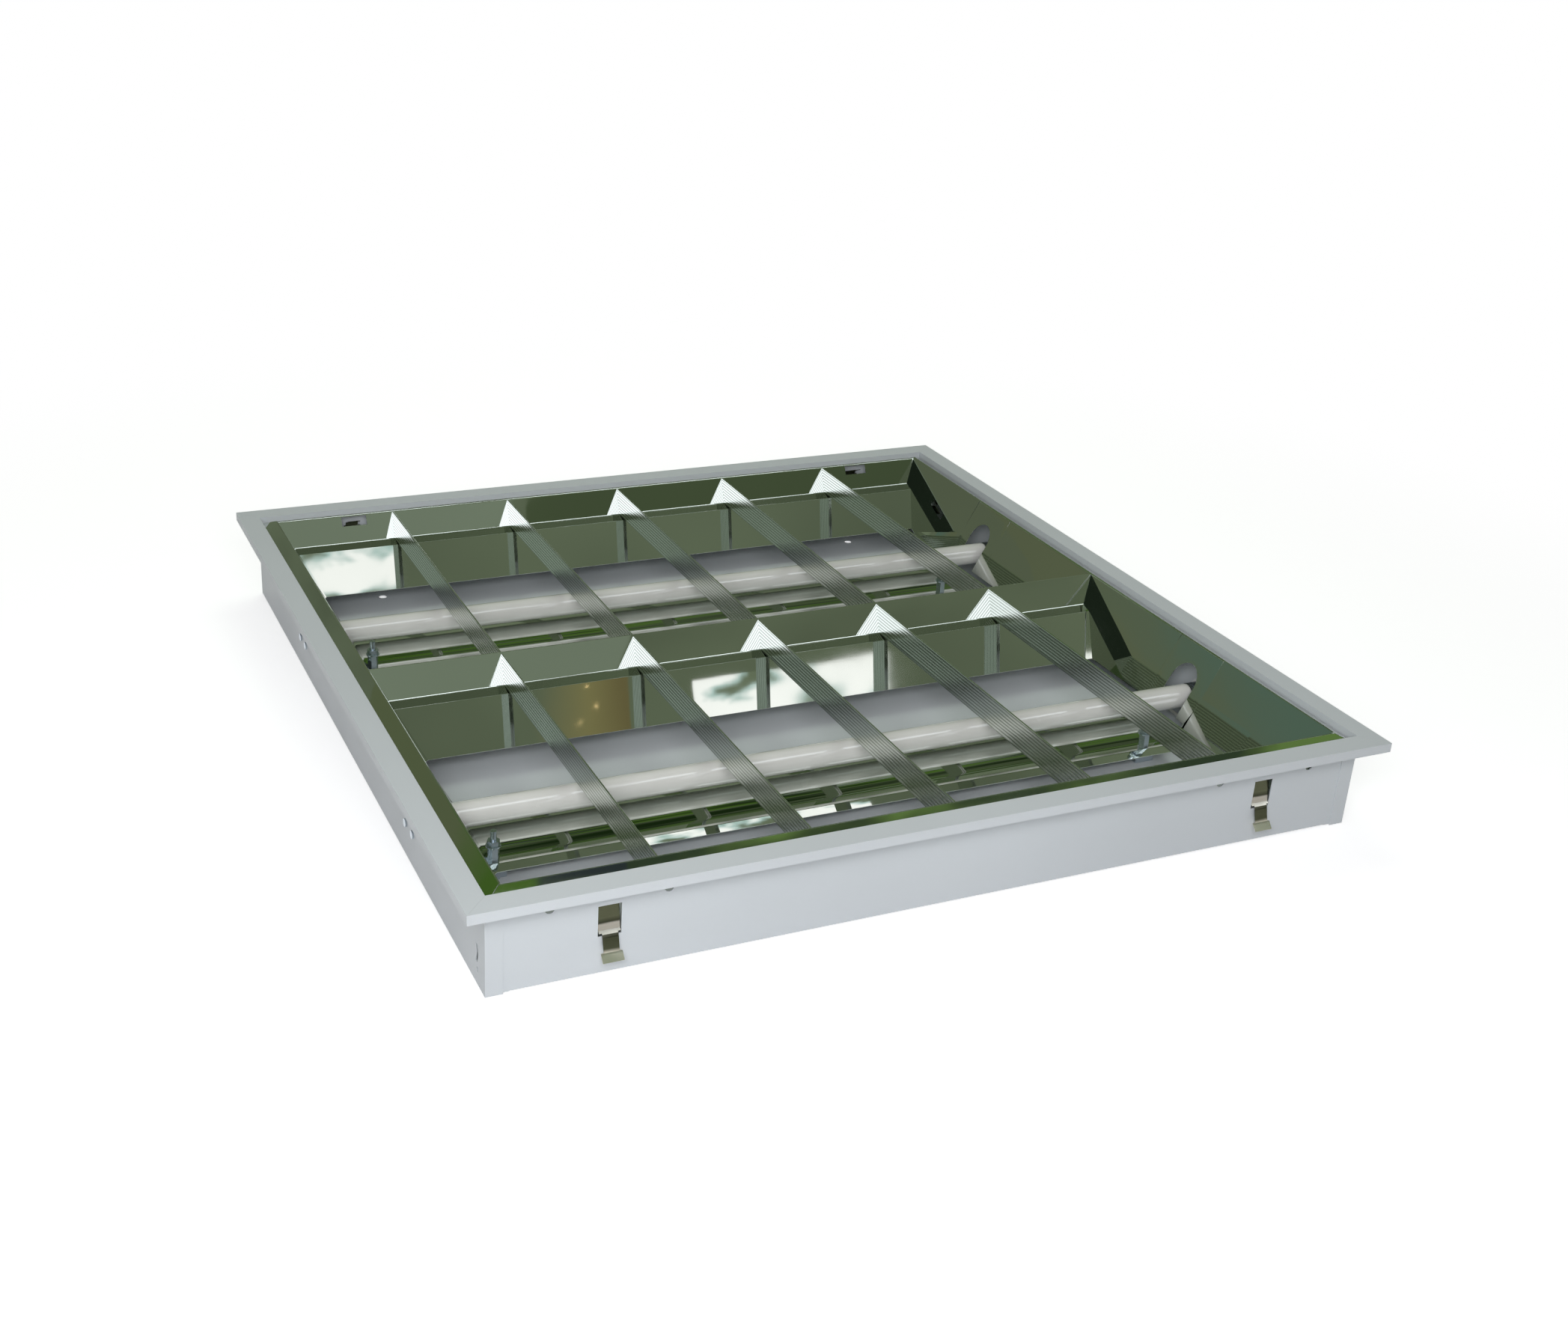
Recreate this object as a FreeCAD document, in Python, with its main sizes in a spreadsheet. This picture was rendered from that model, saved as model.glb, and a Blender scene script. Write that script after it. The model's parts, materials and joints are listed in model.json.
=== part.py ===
"""Recessed louvre luminaire for a 600 mm ceiling grid, lying on its back with the louvre up.

Frame: millimetres, origin at the middle of the underside of the back, +X along the lamps,
+Y from the latch side to the hinge side, +Z towards the room side (the louvre).
"""
import FreeCAD, Part
import math
import os
import Sketcher

os.makedirs("parts", exist_ok=True)
doc = FreeCAD.newDocument("recessed_louvre_luminaire")
Vector = FreeCAD.Vector

# ---------------------------------------------------------------- driving dimensions
SIZES = {
    # housing
    "total_height": 61.6,        # underside of the end plates to the flange's room side
    "sheet": 0.7,                # painted steel sheet
    "seam_gap": 0.1,             # between two sheets that lie on each other
    "flange_half": 297.5,        # half of the 595 mm flange
    "rim_drop": 6.1,             # flange edge folded back
    "wall_in_y": 282.0,          # inner faces of the near and far walls
    "wall_in_x": 283.1,          # inner faces of the end plates
    "tab_width": 10.0,           # end plate tabs lapped over the near and far walls
    "return_depth": 13.0,        # end plate fold under the back
    "window_width": 13.4,        # clip windows in the near and far walls
    "window_top": 19.3,          # below the flange's room side
    "window_bottom": 38.3,
    "clip_pitch_half": 214.5,    # clips stand at plus and minus this X
    "notch_offset": 33.7,        # tooling holes either side of each clip
    "notch_depth": 15.4,
    "notch_radius": 2.6,
    "entry_x": -205.0,           # cable entry in the back
    "entry_radius": 10.0,
    "hang_x": 200.0,             # suspension holes in the back
    "hang_y": 246.0,
    "hang_radius": 3.0,
    "slot_y": -269.0,            # bracket slot and hole in an end plate
    "slot_top": 36.7,
    "slot_bottom": 47.7,
    "slot_width": 3.2,
    "slot_bow": 1.2,             # how far the slot's middle bulges
    "pivot_depth": 52.1,
    "pivot_radius": 1.6,
    # louvre
    "mirror": 0.5,               # anodised aluminium sheet
    "lip_half": 281.5,           # outer edge of the louvre's lip
    "lip_inner": 272.3,          # crease between the lip and the reflectors
    "lip_drop": 5.0,             # lip edge below the flange's room side
    "crease_drop": 0.6,
    "facet_run": 10.3,           # upper facet, measured inwards from the crease
    "facet_drop": 20.3,
    "ledge_run": 19.3,
    "ledge_drop": 21.5,
    "skirt_run": 48.6,           # bottom edge of the lower facet
    "skirt_drop": 45.3,
    "ridge_drop": 0.9,           # top of the central ridge
    "end_slope": 0.54,           # run per drop of the end reflectors
    "arch_half": 12.4,           # lamp arches in the end reflectors
    "arch_top": 12.7,
    "arch_crown": 8.2,           # half width of the band over an arch's crown
    "latch_width": 19.0,         # latch windows in the upper facets
    "latch_top": 2.2,
    "latch_bottom": 8.6,
    "blade_pitch": 92.0,
    "blade_drop": 1.65,
    "blade_height": 18.5,
    "blade_half": 1.1,
    "blade_sheet": 0.3,
    "blade_fold": 0.3,           # half width of the flat along the fold
    "joint_gap": 0.06,
    # lamps, T5 14 W, and their G5 holders
    "lamp_y": 137.5,
    "lamp_drop": 35.8,
    "lamp_radius": 8.0,
    "glass_wall": 0.8,
    "glass_half": 265.0,
    "cap_half": 274.5,
    "cap_radius": 8.1,
    "pin_half": 281.5,
    "pin_radius": 1.18,
    "pin_offset": 2.375,
    "rotor_radius": 6.2,
    "rotor_bore": 6.28,
    "rotor_front": 275.5,
    "rotor_back": 280.4,
    "rotor_slot": 1.4,
    "holder_front": 275.1,
    "holder_back": 283.0,
    "holder_half": 10.0,
    "holder_floor": 1.6,
    "holder_slot": 1.6,
    "rivet_radius": 1.5,
    "rivet_head": 2.6,
    "rivet_height": 1.0,
    "rivet_offset": 7.4,
    "rivet_depth": 39.2,
    "rivet_play": 0.05,          # between a rivet and its hole
    "rivet_end_gap": 0.02,       # between a rivet's tail and the holder
    "rivet_seat": 0.2,           # how far the shank reaches into its head
    "bore_floor": 0.3,           # behind the rotor in its bore
    "pin_room": 0.4,             # behind the pins in the holder
    "pin_play": 0.5,
    # reflectors behind the lamps
    "strip_left": -258.0,
    "strip_right": 226.0,
    "strip_half": 42.5,
    "strip_flat": 30.0,
    "strip_fold": 36.5,
    "strip_crease": 50.5,
    "strip_rise": 4.6,
    "strip_lip_drop": 2.0,
    "stud_left": -243.5,
    "stud_right": 208.0,
    "stud_offset": 33.0,
    "stud_radius": 1.95,
    "stud_top": 30.2,
    "standoff_height": 9.6,
    "standoff_radius": 3.6,
    "nut_height": 3.2,
    "nut_radius": 3.9,
    "nut_lift": 11.0,
    "bracket_half_width": 7.0,
    "bracket_sheet": 1.0,
    "bracket_shelf": 5.0,        # shelf under the strip, inwards of the stud
    "thread_play": 0.05,         # between a stud and what is screwed or slid on it
    "stud_hole_play": 0.1,       # between a stud and the strip's hole
    "washer_rim": 0.7,           # washer beyond its nut
    "washer_sheet": 0.9,
    "washer_gap": 0.1,           # how far the nut sinks below its nominal seat
    # clips
    "clip_half": 6.2,
    "clip_neck": 4.6,
    "clip_sheet": 0.5,
    "neck_top": 36.2,            # the strip is narrower from here to the foot
    "neck_bottom": 46.2,
    "foot_top": 48.6,
    "nose_bottom": 12.0,
    # control gear
    "gear_left": -110.0,
    "gear_right": 240.0,
    "gear_half": 15.0,
    "gear_height": 21.0,
    "gear_sheet": 0.8,
    "gear_lug": 12.0,
    "lug_hole_radius": 2.1,
    "port_half": 9.0,            # wire ports in the lid's ends
    "port_low": 4.0,
    "port_high": 9.0,
    "port_depth": 2.0,
    "board_lift": 4.0,
    "board_sheet": 1.6,
    "board_end_gap": 3.0,
    "board_side_gap": 1.5,
    "component_half": 8.0,
    "component_height": 12.0,
    "component_sink": 1.0,
    "foot_half": 4.0,
    "foot_long": 6.0,
    "foot_sink": 0.5,
    "screw_radius": 1.9,
    "screw_sink": 1.0,
    "screw_head": 3.6,
    "screw_head_height": 2.2,
    "screw_slot_half": 0.4,
    "screw_slot_floor": 1.4,     # above the plate under the head
    # terminal block and earth
    "block_x": -150.0,
    "block_long": 15.0,
    "block_half": 9.0,
    "block_height": 14.0,
    "pole_pitch": 9.0,
    "mouth_half": 2.2,
    "mouth_depth": 6.0,
    "mouth_low": 2.5,
    "mouth_high": 7.0,
    "well_radius": 2.6,
    "well_floor": 8.0,
    "pole_screw_radius": 2.4,
    "pole_screw_height": 3.5,
    "pole_slot_half": 0.35,
    "pole_slot_floor": 10.6,
    "earth_offset": 30.0,        # from the block's middle to the earth stud
    "earth_y": 22.0,
    "earth_height": 11.0,
    "earth_nut_lift": 3.4,
    "grommet_lift": 0.1,         # grommet's underside above the back's underside
    "grommet_neck": 1.4,         # neck above the back
    "grommet_rim": 2.5,
    "grommet_rim_height": 2.0,
    "grommet_bore": 5.0,
    # wiring
    "wire_radius": 1.1,
    "wire_lift": 1.3,
    "port_wire_lift": 6.6,       # wires in the lid's ports, above the gear's base plate
    "pole_wire_lift": 4.8,       # wires in the block's mouths
}

sheet_object = doc.addObject("Spreadsheet::Sheet", "Sizes")
for row, (alias, number) in enumerate(SIZES.items(), start=1):
    sheet_object.set("A%d" % row, alias)
    sheet_object.set("B%d" % row, repr(number))
    sheet_object.setAlias("B%d" % row, alias)
doc.recompute()


class Size:
    """A length that knows its number and the spreadsheet expression it came from."""

    def __init__(self, number, text):
        self.number = float(number)
        self.text = text

    @staticmethod
    def of(value):
        if isinstance(value, Size):
            return value
        return Size(value, "%.6g" % value)

    def join(self, other, sign, number):
        return Size(number, "(%s %s %s)" % (self.text, sign, Size.of(other).text))

    def __add__(self, other):
        return self.join(other, "+", self.number + Size.of(other).number)

    def __sub__(self, other):
        return self.join(other, "-", self.number - Size.of(other).number)

    def __mul__(self, other):
        return self.join(other, "*", self.number * Size.of(other).number)

    def __truediv__(self, other):
        return self.join(other, "/", self.number / Size.of(other).number)

    def __radd__(self, other):
        return Size.of(other) + self

    def __rsub__(self, other):
        return Size.of(other) - self

    def __rmul__(self, other):
        return Size.of(other) * self

    def __neg__(self):
        return Size(-self.number, "(0 - %s)" % self.text)


def size(alias):
    return Size(SIZES[alias], "Sizes.%s" % alias)


def value(length):
    return Size.of(length).number


# ---------------------------------------------------------------- making the pieces
subparts = []


def keep(item, label):
    """Name a finished piece and list it for export."""
    item.Label = label
    subparts.append(item)
    return item


def bind(item, prop, length):
    item.setExpression(prop, Size.of(length).text)


def place(item, x=0.0, y=0.0, z=0.0, turn=0.0):
    """Put an object at a bound position, turned about +Z by a plain number of degrees."""
    item.Placement = FreeCAD.Placement(Vector(value(x), value(y), value(z)),
                                       FreeCAD.Rotation(Vector(0, 0, 1), turn))
    for axis_name, length in (("x", x), ("y", y), ("z", z)):
        if isinstance(length, Size):
            bind(item, "Placement.Base." + axis_name, length)


def box(name, x_range, y_range, z_range):
    item = doc.addObject("Part::Box", name)
    sides = ("Length", "Width", "Height")
    low = []
    for prop, (start, end) in zip(sides, (x_range, y_range, z_range)):
        span = Size.of(end) - Size.of(start)
        setattr(item, prop, span.number)
        bind(item, prop, span)
        low.append(Size.of(start))
    place(item, *low)
    return item


AXIS_TURN = {"x": FreeCAD.Rotation(Vector(0, 1, 0), 90),
             "y": FreeCAD.Rotation(Vector(1, 0, 0), -90),
             "z": FreeCAD.Rotation()}


def cylinder(name, axis_name, start, radius, long):
    """A cylinder from the point start, running a length along +x, +y or +z."""
    item = doc.addObject("Part::Cylinder", name)
    item.Radius = value(radius)
    item.Height = value(long)
    bind(item, "Radius", radius)
    bind(item, "Height", long)
    place(item, *[Size.of(part) for part in start])
    item.Placement = FreeCAD.Placement(item.Placement.Base, AXIS_TURN[axis_name])
    return item


def hexagon(name, start, radius, long):
    """A hexagonal prism standing on the point start."""
    item = doc.addObject("Part::Prism", name)
    item.Polygon = 6
    item.Circumradius = value(radius)
    item.Height = value(long)
    bind(item, "Circumradius", radius)
    bind(item, "Height", long)
    place(item, *[Size.of(part) for part in start])
    return item


def cut(name, base, tools):
    item = base
    for index, tool in enumerate(tools):
        result = doc.addObject("Part::Cut", "%s_cut%d" % (name, index))
        result.Base = item
        result.Tool = tool
        item = result
    return item


def fuse(name, items):
    result = doc.addObject("Part::MultiFuse", name + "_fuse")
    result.Shapes = items
    result.Refine = True
    return result


def common(name, first, second):
    result = doc.addObject("Part::MultiCommon", name + "_common")
    result.Shapes = [first, second]
    return result


def group(name, items):
    result = doc.addObject("Part::Compound", name + "_group")
    result.Links = items
    return result


def bands(label, sheet, axis_name, cuts):
    """Keep one bent sheet as solids side by side, cut at places along an axis.

    The hull of each band then leaves the hollows beside the sheet's folds open.
    """
    edges = [-FAR_OFF] + cuts + [FAR_OFF]
    items = []
    for number, span in enumerate(zip(edges, edges[1:])):
        name = "%s_band%d" % (label, number)
        ranges = {"x": (-FAR_OFF, FAR_OFF), "y": (-FAR_OFF, FAR_OFF), "z": (-FAR_OFF, FAR_OFF)}
        ranges[axis_name] = span
        slab = box(name + "_slab", ranges["x"], ranges["y"], ranges["z"])
        items.append(common(name, sheet, slab))
    keep(group(label, items), label)


def new_body(name, x=0.0, y=0.0, z=0.0, turn=0.0):
    """An empty body that isn't exported itself."""
    item = doc.addObject("PartDesign::Body", name)
    place(item, x, y, z, turn)
    return item


def body(label, x=0.0, y=0.0, z=0.0, turn=0.0):
    """An empty body for a piece that is exported as it stands."""
    return keep(new_body(label + "_body", x, y, z, turn), label)


def plane_of(item, role):
    return [part for part in item.Origin.OriginFeatures if part.Role == role][0]


def outline(item, name, role, points):
    """A closed straight-sided outline on an origin plane, each corner bound to the sheet."""
    sketch = item.newObject("Sketcher::SketchObject", name)
    sketch.AttachmentSupport = [(plane_of(item, role), "")]
    sketch.MapMode = "FlatFace"
    add_loop(sketch, points)
    return sketch


def add_loop(sketch, points):
    """Add a closed loop of straight lines through the points, each corner bound to the sheet."""
    corners = [Vector(value(first), value(second), 0) for first, second in points]
    base = sketch.GeometryCount
    for index, corner in enumerate(corners):
        following = corners[(index + 1) % len(corners)]
        sketch.addGeometry(Part.LineSegment(corner, following), False)
    for index in range(len(corners)):
        after = base + (index + 1) % len(corners)
        sketch.addConstraint(Sketcher.Constraint("Coincident", base + index, 2, after, 1))
    for index, (first, second) in enumerate(points):
        for kind, length in (("DistanceX", first), ("DistanceY", second)):
            number = value(length)
            rule = Sketcher.Constraint(kind, -1, 1, base + index, 1, number)
            place_in_list = sketch.addConstraint(rule)
            if isinstance(length, Size):
                sketch.setExpression("Constraints[%d]" % place_in_list, length.text)


def circles(item, name, role, holes):
    """Round holes on an origin plane: (first, second, radius) each, bound to the sheet."""
    sketch = item.newObject("Sketcher::SketchObject", name)
    sketch.AttachmentSupport = [(plane_of(item, role), "")]
    sketch.MapMode = "FlatFace"
    for first, second, radius in holes:
        middle = Vector(value(first), value(second), 0)
        circle = Part.Circle(middle, Vector(0, 0, 1), value(radius))
        index = sketch.addGeometry(circle, False)
        rules = (("DistanceX", first), ("DistanceY", second))
        for kind, length in rules:
            rule = Sketcher.Constraint(kind, -1, 1, index, 3, value(length))
            place_in_list = sketch.addConstraint(rule)
            if isinstance(length, Size):
                sketch.setExpression("Constraints[%d]" % place_in_list, length.text)
        rule = sketch.addConstraint(Sketcher.Constraint("Radius", index, value(radius)))
        if isinstance(radius, Size):
            sketch.setExpression("Constraints[%d]" % rule, radius.text)
    return sketch


def pad(item, sketch, long):
    """Thicken an outline to both sides of its plane."""
    feature = item.newObject("PartDesign::Pad", sketch.Name + "_pad")
    feature.Profile = sketch
    feature.SideType = "Symmetric"
    feature.Length = value(long)
    bind(feature, "Length", long)
    return feature


def pocket(item, sketch, long):
    """Cut an outline away to both sides of its plane."""
    feature = item.newObject("PartDesign::Pocket", sketch.Name + "_pocket")
    feature.Profile = sketch
    feature.SideType = "Symmetric"
    feature.Length = value(long)
    bind(feature, "Length", long)
    return feature


def mirrored_points(points):
    return [(-first, second) for first, second in reversed(points)]


TOP = size("total_height")
SHEET = size("sheet")
GAP = size("seam_gap")
HALF = size("flange_half")
WALL_Y = size("wall_in_y")
WALL_X = size("wall_in_x")
BACK_UNDER = SHEET + GAP
BACK_IN = BACK_UNDER + SHEET
FAR_OFF = 400.0      # beyond every piece, for outlines that only cut
OVERRUN = 5.0        # how far a cut runs past what it cuts
CUT_DEPTH = 50.0     # deeper than the louvre's skirts
CUT_LONG = 20.0      # longer than any small hole

# A sketch on the XZ plane has X to the right and Z up; one on the YZ plane has Y to the
# right and Z up; one on the XY plane has X to the right and Y up.


# ---------------------------------------------------------------- housing
def housing_tray():
    """Back with the near and far walls, their flanges and rims, folded from one sheet."""
    tray = body("housing_tray")
    rim_foot = TOP - size("rim_drop")
    half_section = [
        (WALL_Y, BACK_IN), (WALL_Y, TOP), (HALF, TOP), (HALF, rim_foot),
        (HALF - SHEET, rim_foot), (HALF - SHEET, TOP - SHEET),
        (WALL_Y + SHEET, TOP - SHEET), (WALL_Y + SHEET, BACK_UNDER)]
    section = outline(tray, "tray_section", "YZ_Plane", half_section + mirrored_points(half_section))
    pad(tray, section, HALF * 2)
    wall_end = WALL_X - GAP
    for side, name in ((1, "right"), (-1, "left")):
        ends = [(wall_end * side, -OVERRUN), (FAR_OFF * side, -OVERRUN),
                (FAR_OFF * side, TOP - SHEET), (wall_end * side, TOP - SHEET)]
        pocket(tray, outline(tray, "tray_end_" + name, "XZ_Plane", ends), (WALL_Y + OVERRUN) * 2)
        # flange corners mitred from the wall's inner corner to the flange's outer corner
        mitre = [((WALL_X - GAP) * side, WALL_Y), ((HALF - GAP) * side, HALF),
                 (FAR_OFF * side, HALF), (FAR_OFF * side, -HALF),
                 ((HALF - GAP) * side, -HALF), ((WALL_X - GAP) * side, -WALL_Y)]
        pocket(tray, outline(tray, "tray_mitre_" + name, "XY_Plane", mitre), FAR_OFF)
    openings = tray.newObject("Sketcher::SketchObject", "tray_windows")
    openings.AttachmentSupport = [(plane_of(tray, "XZ_Plane"), "")]
    openings.MapMode = "FlatFace"
    half_window = size("window_width") / 2
    for side in (1, -1):
        middle = size("clip_pitch_half") * side
        add_loop(openings, [(middle - half_window, TOP - size("window_bottom")),
                            (middle + half_window, TOP - size("window_bottom")),
                            (middle + half_window, TOP - size("window_top")),
                            (middle - half_window, TOP - size("window_top"))])
    pocket(tray, openings, HALF * 2)
    tooling = [(size("clip_pitch_half") * side + size("notch_offset") * offset,
                TOP - size("notch_depth"), size("notch_radius"))
               for side in (1, -1) for offset in (1, -1)]
    pocket(tray, circles(tray, "tray_tooling_holes", "XZ_Plane", tooling), (WALL_Y + OVERRUN) * 2)
    holes = [(size("hang_x") * side, size("hang_y") * offset, size("hang_radius"))
             for side in (1, -1) for offset in (1, -1)]
    holes.append((size("entry_x"), 0.0, size("entry_radius")))
    pocket(tray, circles(tray, "tray_back_holes", "XY_Plane", holes), BACK_IN * 4)


def end_plate(label, turn):
    """End wall with its flange, rim, side tabs and the fold under the back.

    It is drawn for the +X end; the -X end is the same stamping turned half way round.
    """
    plate = body(label, turn=turn)
    outer = WALL_X + SHEET
    rim_foot = TOP - size("rim_drop")
    section = [
        (WALL_X - size("return_depth"), 0.0), (outer, 0.0), (outer, TOP - SHEET),
        (HALF - SHEET, TOP - SHEET), (HALF - SHEET, rim_foot), (HALF, rim_foot), (HALF, TOP),
        (WALL_X, TOP), (WALL_X, SHEET), (WALL_X - size("return_depth"), SHEET)]
    pad(plate, outline(plate, label + "_section", "XZ_Plane", section), HALF * 2)
    tab_out = WALL_Y + SHEET + GAP + SHEET
    for side, name in ((1, "far"), (-1, "near")):
        trim = [(tab_out * side, -OVERRUN), (tab_out * side, TOP - SHEET),
                (FAR_OFF * side, TOP - SHEET), (FAR_OFF * side, -OVERRUN)]
        cutter = outline(plate, "%s_trim_%s" % (label, name), "YZ_Plane", trim)
        pocket(plate, cutter, (outer + OVERRUN) * 2)
        mitre = [(WALL_X, WALL_Y * side), (HALF, HALF * side), (HALF, FAR_OFF * side),
                 (0.0, FAR_OFF * side), (0.0, WALL_Y * side)]
        upper = outline(plate, "%s_mitre_%s" % (label, name), "XY_Plane", mitre)
        feature = plate.newObject("PartDesign::Pocket", upper.Name + "_pocket")
        feature.Profile = upper
        feature.Reversed = True
        feature.Length = TOP.number
        bind(feature, "Length", TOP)
        # the mitre is only for the flange, so the wall's corner and its tab are put back here
        tab = plate.newObject("PartDesign::Pad", "%s_tab_%s_pad" % (label, name))
        corner_section = [(WALL_X, WALL_Y * side), (outer, WALL_Y * side),
                          (outer, tab_out * side), (outer - size("tab_width"), tab_out * side),
                          (outer - size("tab_width"), (tab_out - SHEET) * side),
                          (WALL_X, (tab_out - SHEET) * side)]
        tab.Profile = outline(plate, "%s_tab_%s" % (label, name), "XY_Plane", corner_section)
        tab.Length = value(TOP - SHEET - GAP)
        bind(tab, "Length", TOP - SHEET - GAP)
    half_width = size("slot_width") / 2
    middle = -size("slot_y")
    slot_low = TOP - size("slot_bottom")
    slot_high = TOP - size("slot_top")
    slot_middle = (slot_low + slot_high) / 2
    bow = middle + size("slot_bow")
    slot = [(middle - half_width, slot_low), (middle + half_width, slot_low),
            (bow + half_width, slot_middle), (middle + half_width, slot_high),
            (middle - half_width, slot_high), (bow - half_width, slot_middle)]
    pocket(plate, outline(plate, label + "_slot", "YZ_Plane", slot), FAR_OFF * 2)
    holes = [(middle + half_width, TOP - size("pivot_depth"), size("pivot_radius"))]
    for lamp_side in (1, -1):
        for offset in (1, -1):
            holes.append((size("lamp_y") * lamp_side + size("rivet_offset") * offset,
                          TOP - size("rivet_depth"), size("rivet_radius")))
    pocket(plate, circles(plate, label + "_holes", "YZ_Plane", holes), FAR_OFF * 2)


# ---------------------------------------------------------------- louvre
MIRROR = size("mirror")
LIP = size("lip_inner")
CREASE = TOP - size("crease_drop")


def reflector_outline(outer_lip):
    """Section of a side reflector: lip, upper facet, ledge and lower facet, one sheet thick.

    The first coordinate runs inwards from the crease; the sheet's back is below and outside.
    """
    facet = (size("facet_run"), TOP - size("facet_drop"))
    ledge = (size("ledge_run"), TOP - size("ledge_drop"))
    skirt = (size("skirt_run"), TOP - size("skirt_drop"))
    front = [outer_lip, (0.0, CREASE), facet, ledge, skirt]
    below = MIRROR * 1.15
    beside = MIRROR * 0.62
    back = [(skirt[0] - beside, skirt[1] - MIRROR * 0.8), (ledge[0] - beside * 0.6, ledge[1] - below),
            (facet[0] - beside, facet[1] - below), (-beside * 0.8, CREASE - below),
            (outer_lip[0], outer_lip[1] - MIRROR * 1.1)]
    return front + back


def side_reflector(label, y, turn):
    """Long mirror along the near or far wall, drawn with its crease on the X axis.

    Its two bands meet at the fold between the upper facet and the ledge.
    """
    mirror = new_body(label + "_sheet", y=y, turn=turn)
    lip_run = size("lip_half") - LIP
    points = reflector_outline((-lip_run, TOP - size("lip_drop")))
    pad(mirror, outline(mirror, label + "_section", "YZ_Plane", points), size("lip_half") * 2)
    for side, name in ((1, "right"), (-1, "left")):
        slope = size("end_slope")
        clear = size("joint_gap")
        top_x = (LIP - clear) * side
        low_x = (LIP - slope * CUT_DEPTH - clear) * side
        ends = [(top_x, CREASE), (FAR_OFF * side, CREASE), (FAR_OFF * side, CREASE - CUT_DEPTH),
                (low_x, CREASE - CUT_DEPTH)]
        # cut from the crease inwards only, so that the lip keeps its full length
        sketch = outline(mirror, "%s_end_%s" % (label, name), "XZ_Plane", ends)
        feature = mirror.newObject("PartDesign::Pocket", sketch.Name + "_pocket")
        feature.Profile = sketch
        feature.Length = value(size("skirt_run") + OVERRUN)
        bind(feature, "Length", size("skirt_run") + OVERRUN)
        # lip corner mitred at 45 degrees
        mitre = [((LIP - clear) * side, 0.0), ((LIP - clear + lip_run + 1.0) * side, -lip_run - 1.0),
                 (FAR_OFF * side, -lip_run - 1.0), (FAR_OFF * side, 1.0), ((LIP - clear) * side, 1.0)]
        pocket(mirror, outline(mirror, "%s_mitre_%s" % (label, name), "XY_Plane", mitre), FAR_OFF)
    windows = mirror.newObject("Sketcher::SketchObject", label + "_windows")
    windows.AttachmentSupport = [(plane_of(mirror, "XZ_Plane"), "")]
    windows.MapMode = "FlatFace"
    half_window = size("latch_width") / 2
    for side in (1, -1):
        middle = size("clip_pitch_half") * side
        add_loop(windows, [(middle - half_window, TOP - size("latch_bottom")),
                           (middle + half_window, TOP - size("latch_bottom")),
                           (middle + half_window, TOP - size("latch_top")),
                           (middle - half_window, TOP - size("latch_top"))])
    feature = mirror.newObject("PartDesign::Pocket", label + "_windows_pocket")
    feature.Profile = windows
    feature.Length = value(size("facet_run"))
    bind(feature, "Length", size("facet_run"))
    bands(label, mirror, "z", [TOP - size("facet_drop")])


def ridge_reflector():
    """Central two-sided mirror: ridge, upper facets, ledges and lower facets.

    Its bands meet at the folds between the upper facets and the ledges.
    """
    ridge = new_body("ridge_sheet")
    top = TOP - size("ridge_drop")
    front = [(size("facet_run"), TOP - size("facet_drop")),
             (size("ledge_run"), TOP - size("ledge_drop")),
             (size("skirt_run"), TOP - size("skirt_drop"))]
    below = MIRROR * 1.15
    beside = MIRROR * 0.62
    back = [(front[2][0] - beside, front[2][1] - MIRROR * 0.8),
            (front[1][0] - beside * 0.6, front[1][1] - below),
            (front[0][0] - beside, front[0][1] - below)]
    run_per_drop = size("facet_run") / (size("facet_drop") - size("crease_drop"))
    crown = [(run_per_drop * (size("ridge_drop") - size("crease_drop")), top)]
    right = crown + front + back
    inner_top = [(0.0, top - MIRROR * 1.7)]
    points = right + inner_top + [(-first, second) for first, second in reversed(right)]
    pad(ridge, outline(ridge, "ridge_section", "YZ_Plane", points), LIP * 2)
    slope = size("end_slope")
    for side, name in ((1, "right"), (-1, "left")):
        ends = [((LIP - size("joint_gap")) * side, CREASE), (FAR_OFF * side, CREASE),
                (FAR_OFF * side, CREASE - CUT_DEPTH),
                ((LIP - slope * CUT_DEPTH - size("joint_gap")) * side, CREASE - CUT_DEPTH)]
        pocket(ridge, outline(ridge, "ridge_end_" + name, "XZ_Plane", ends), size("skirt_run") * 3)
    bands("ridge_reflector", ridge, "z", [TOP - size("facet_drop")])


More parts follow.
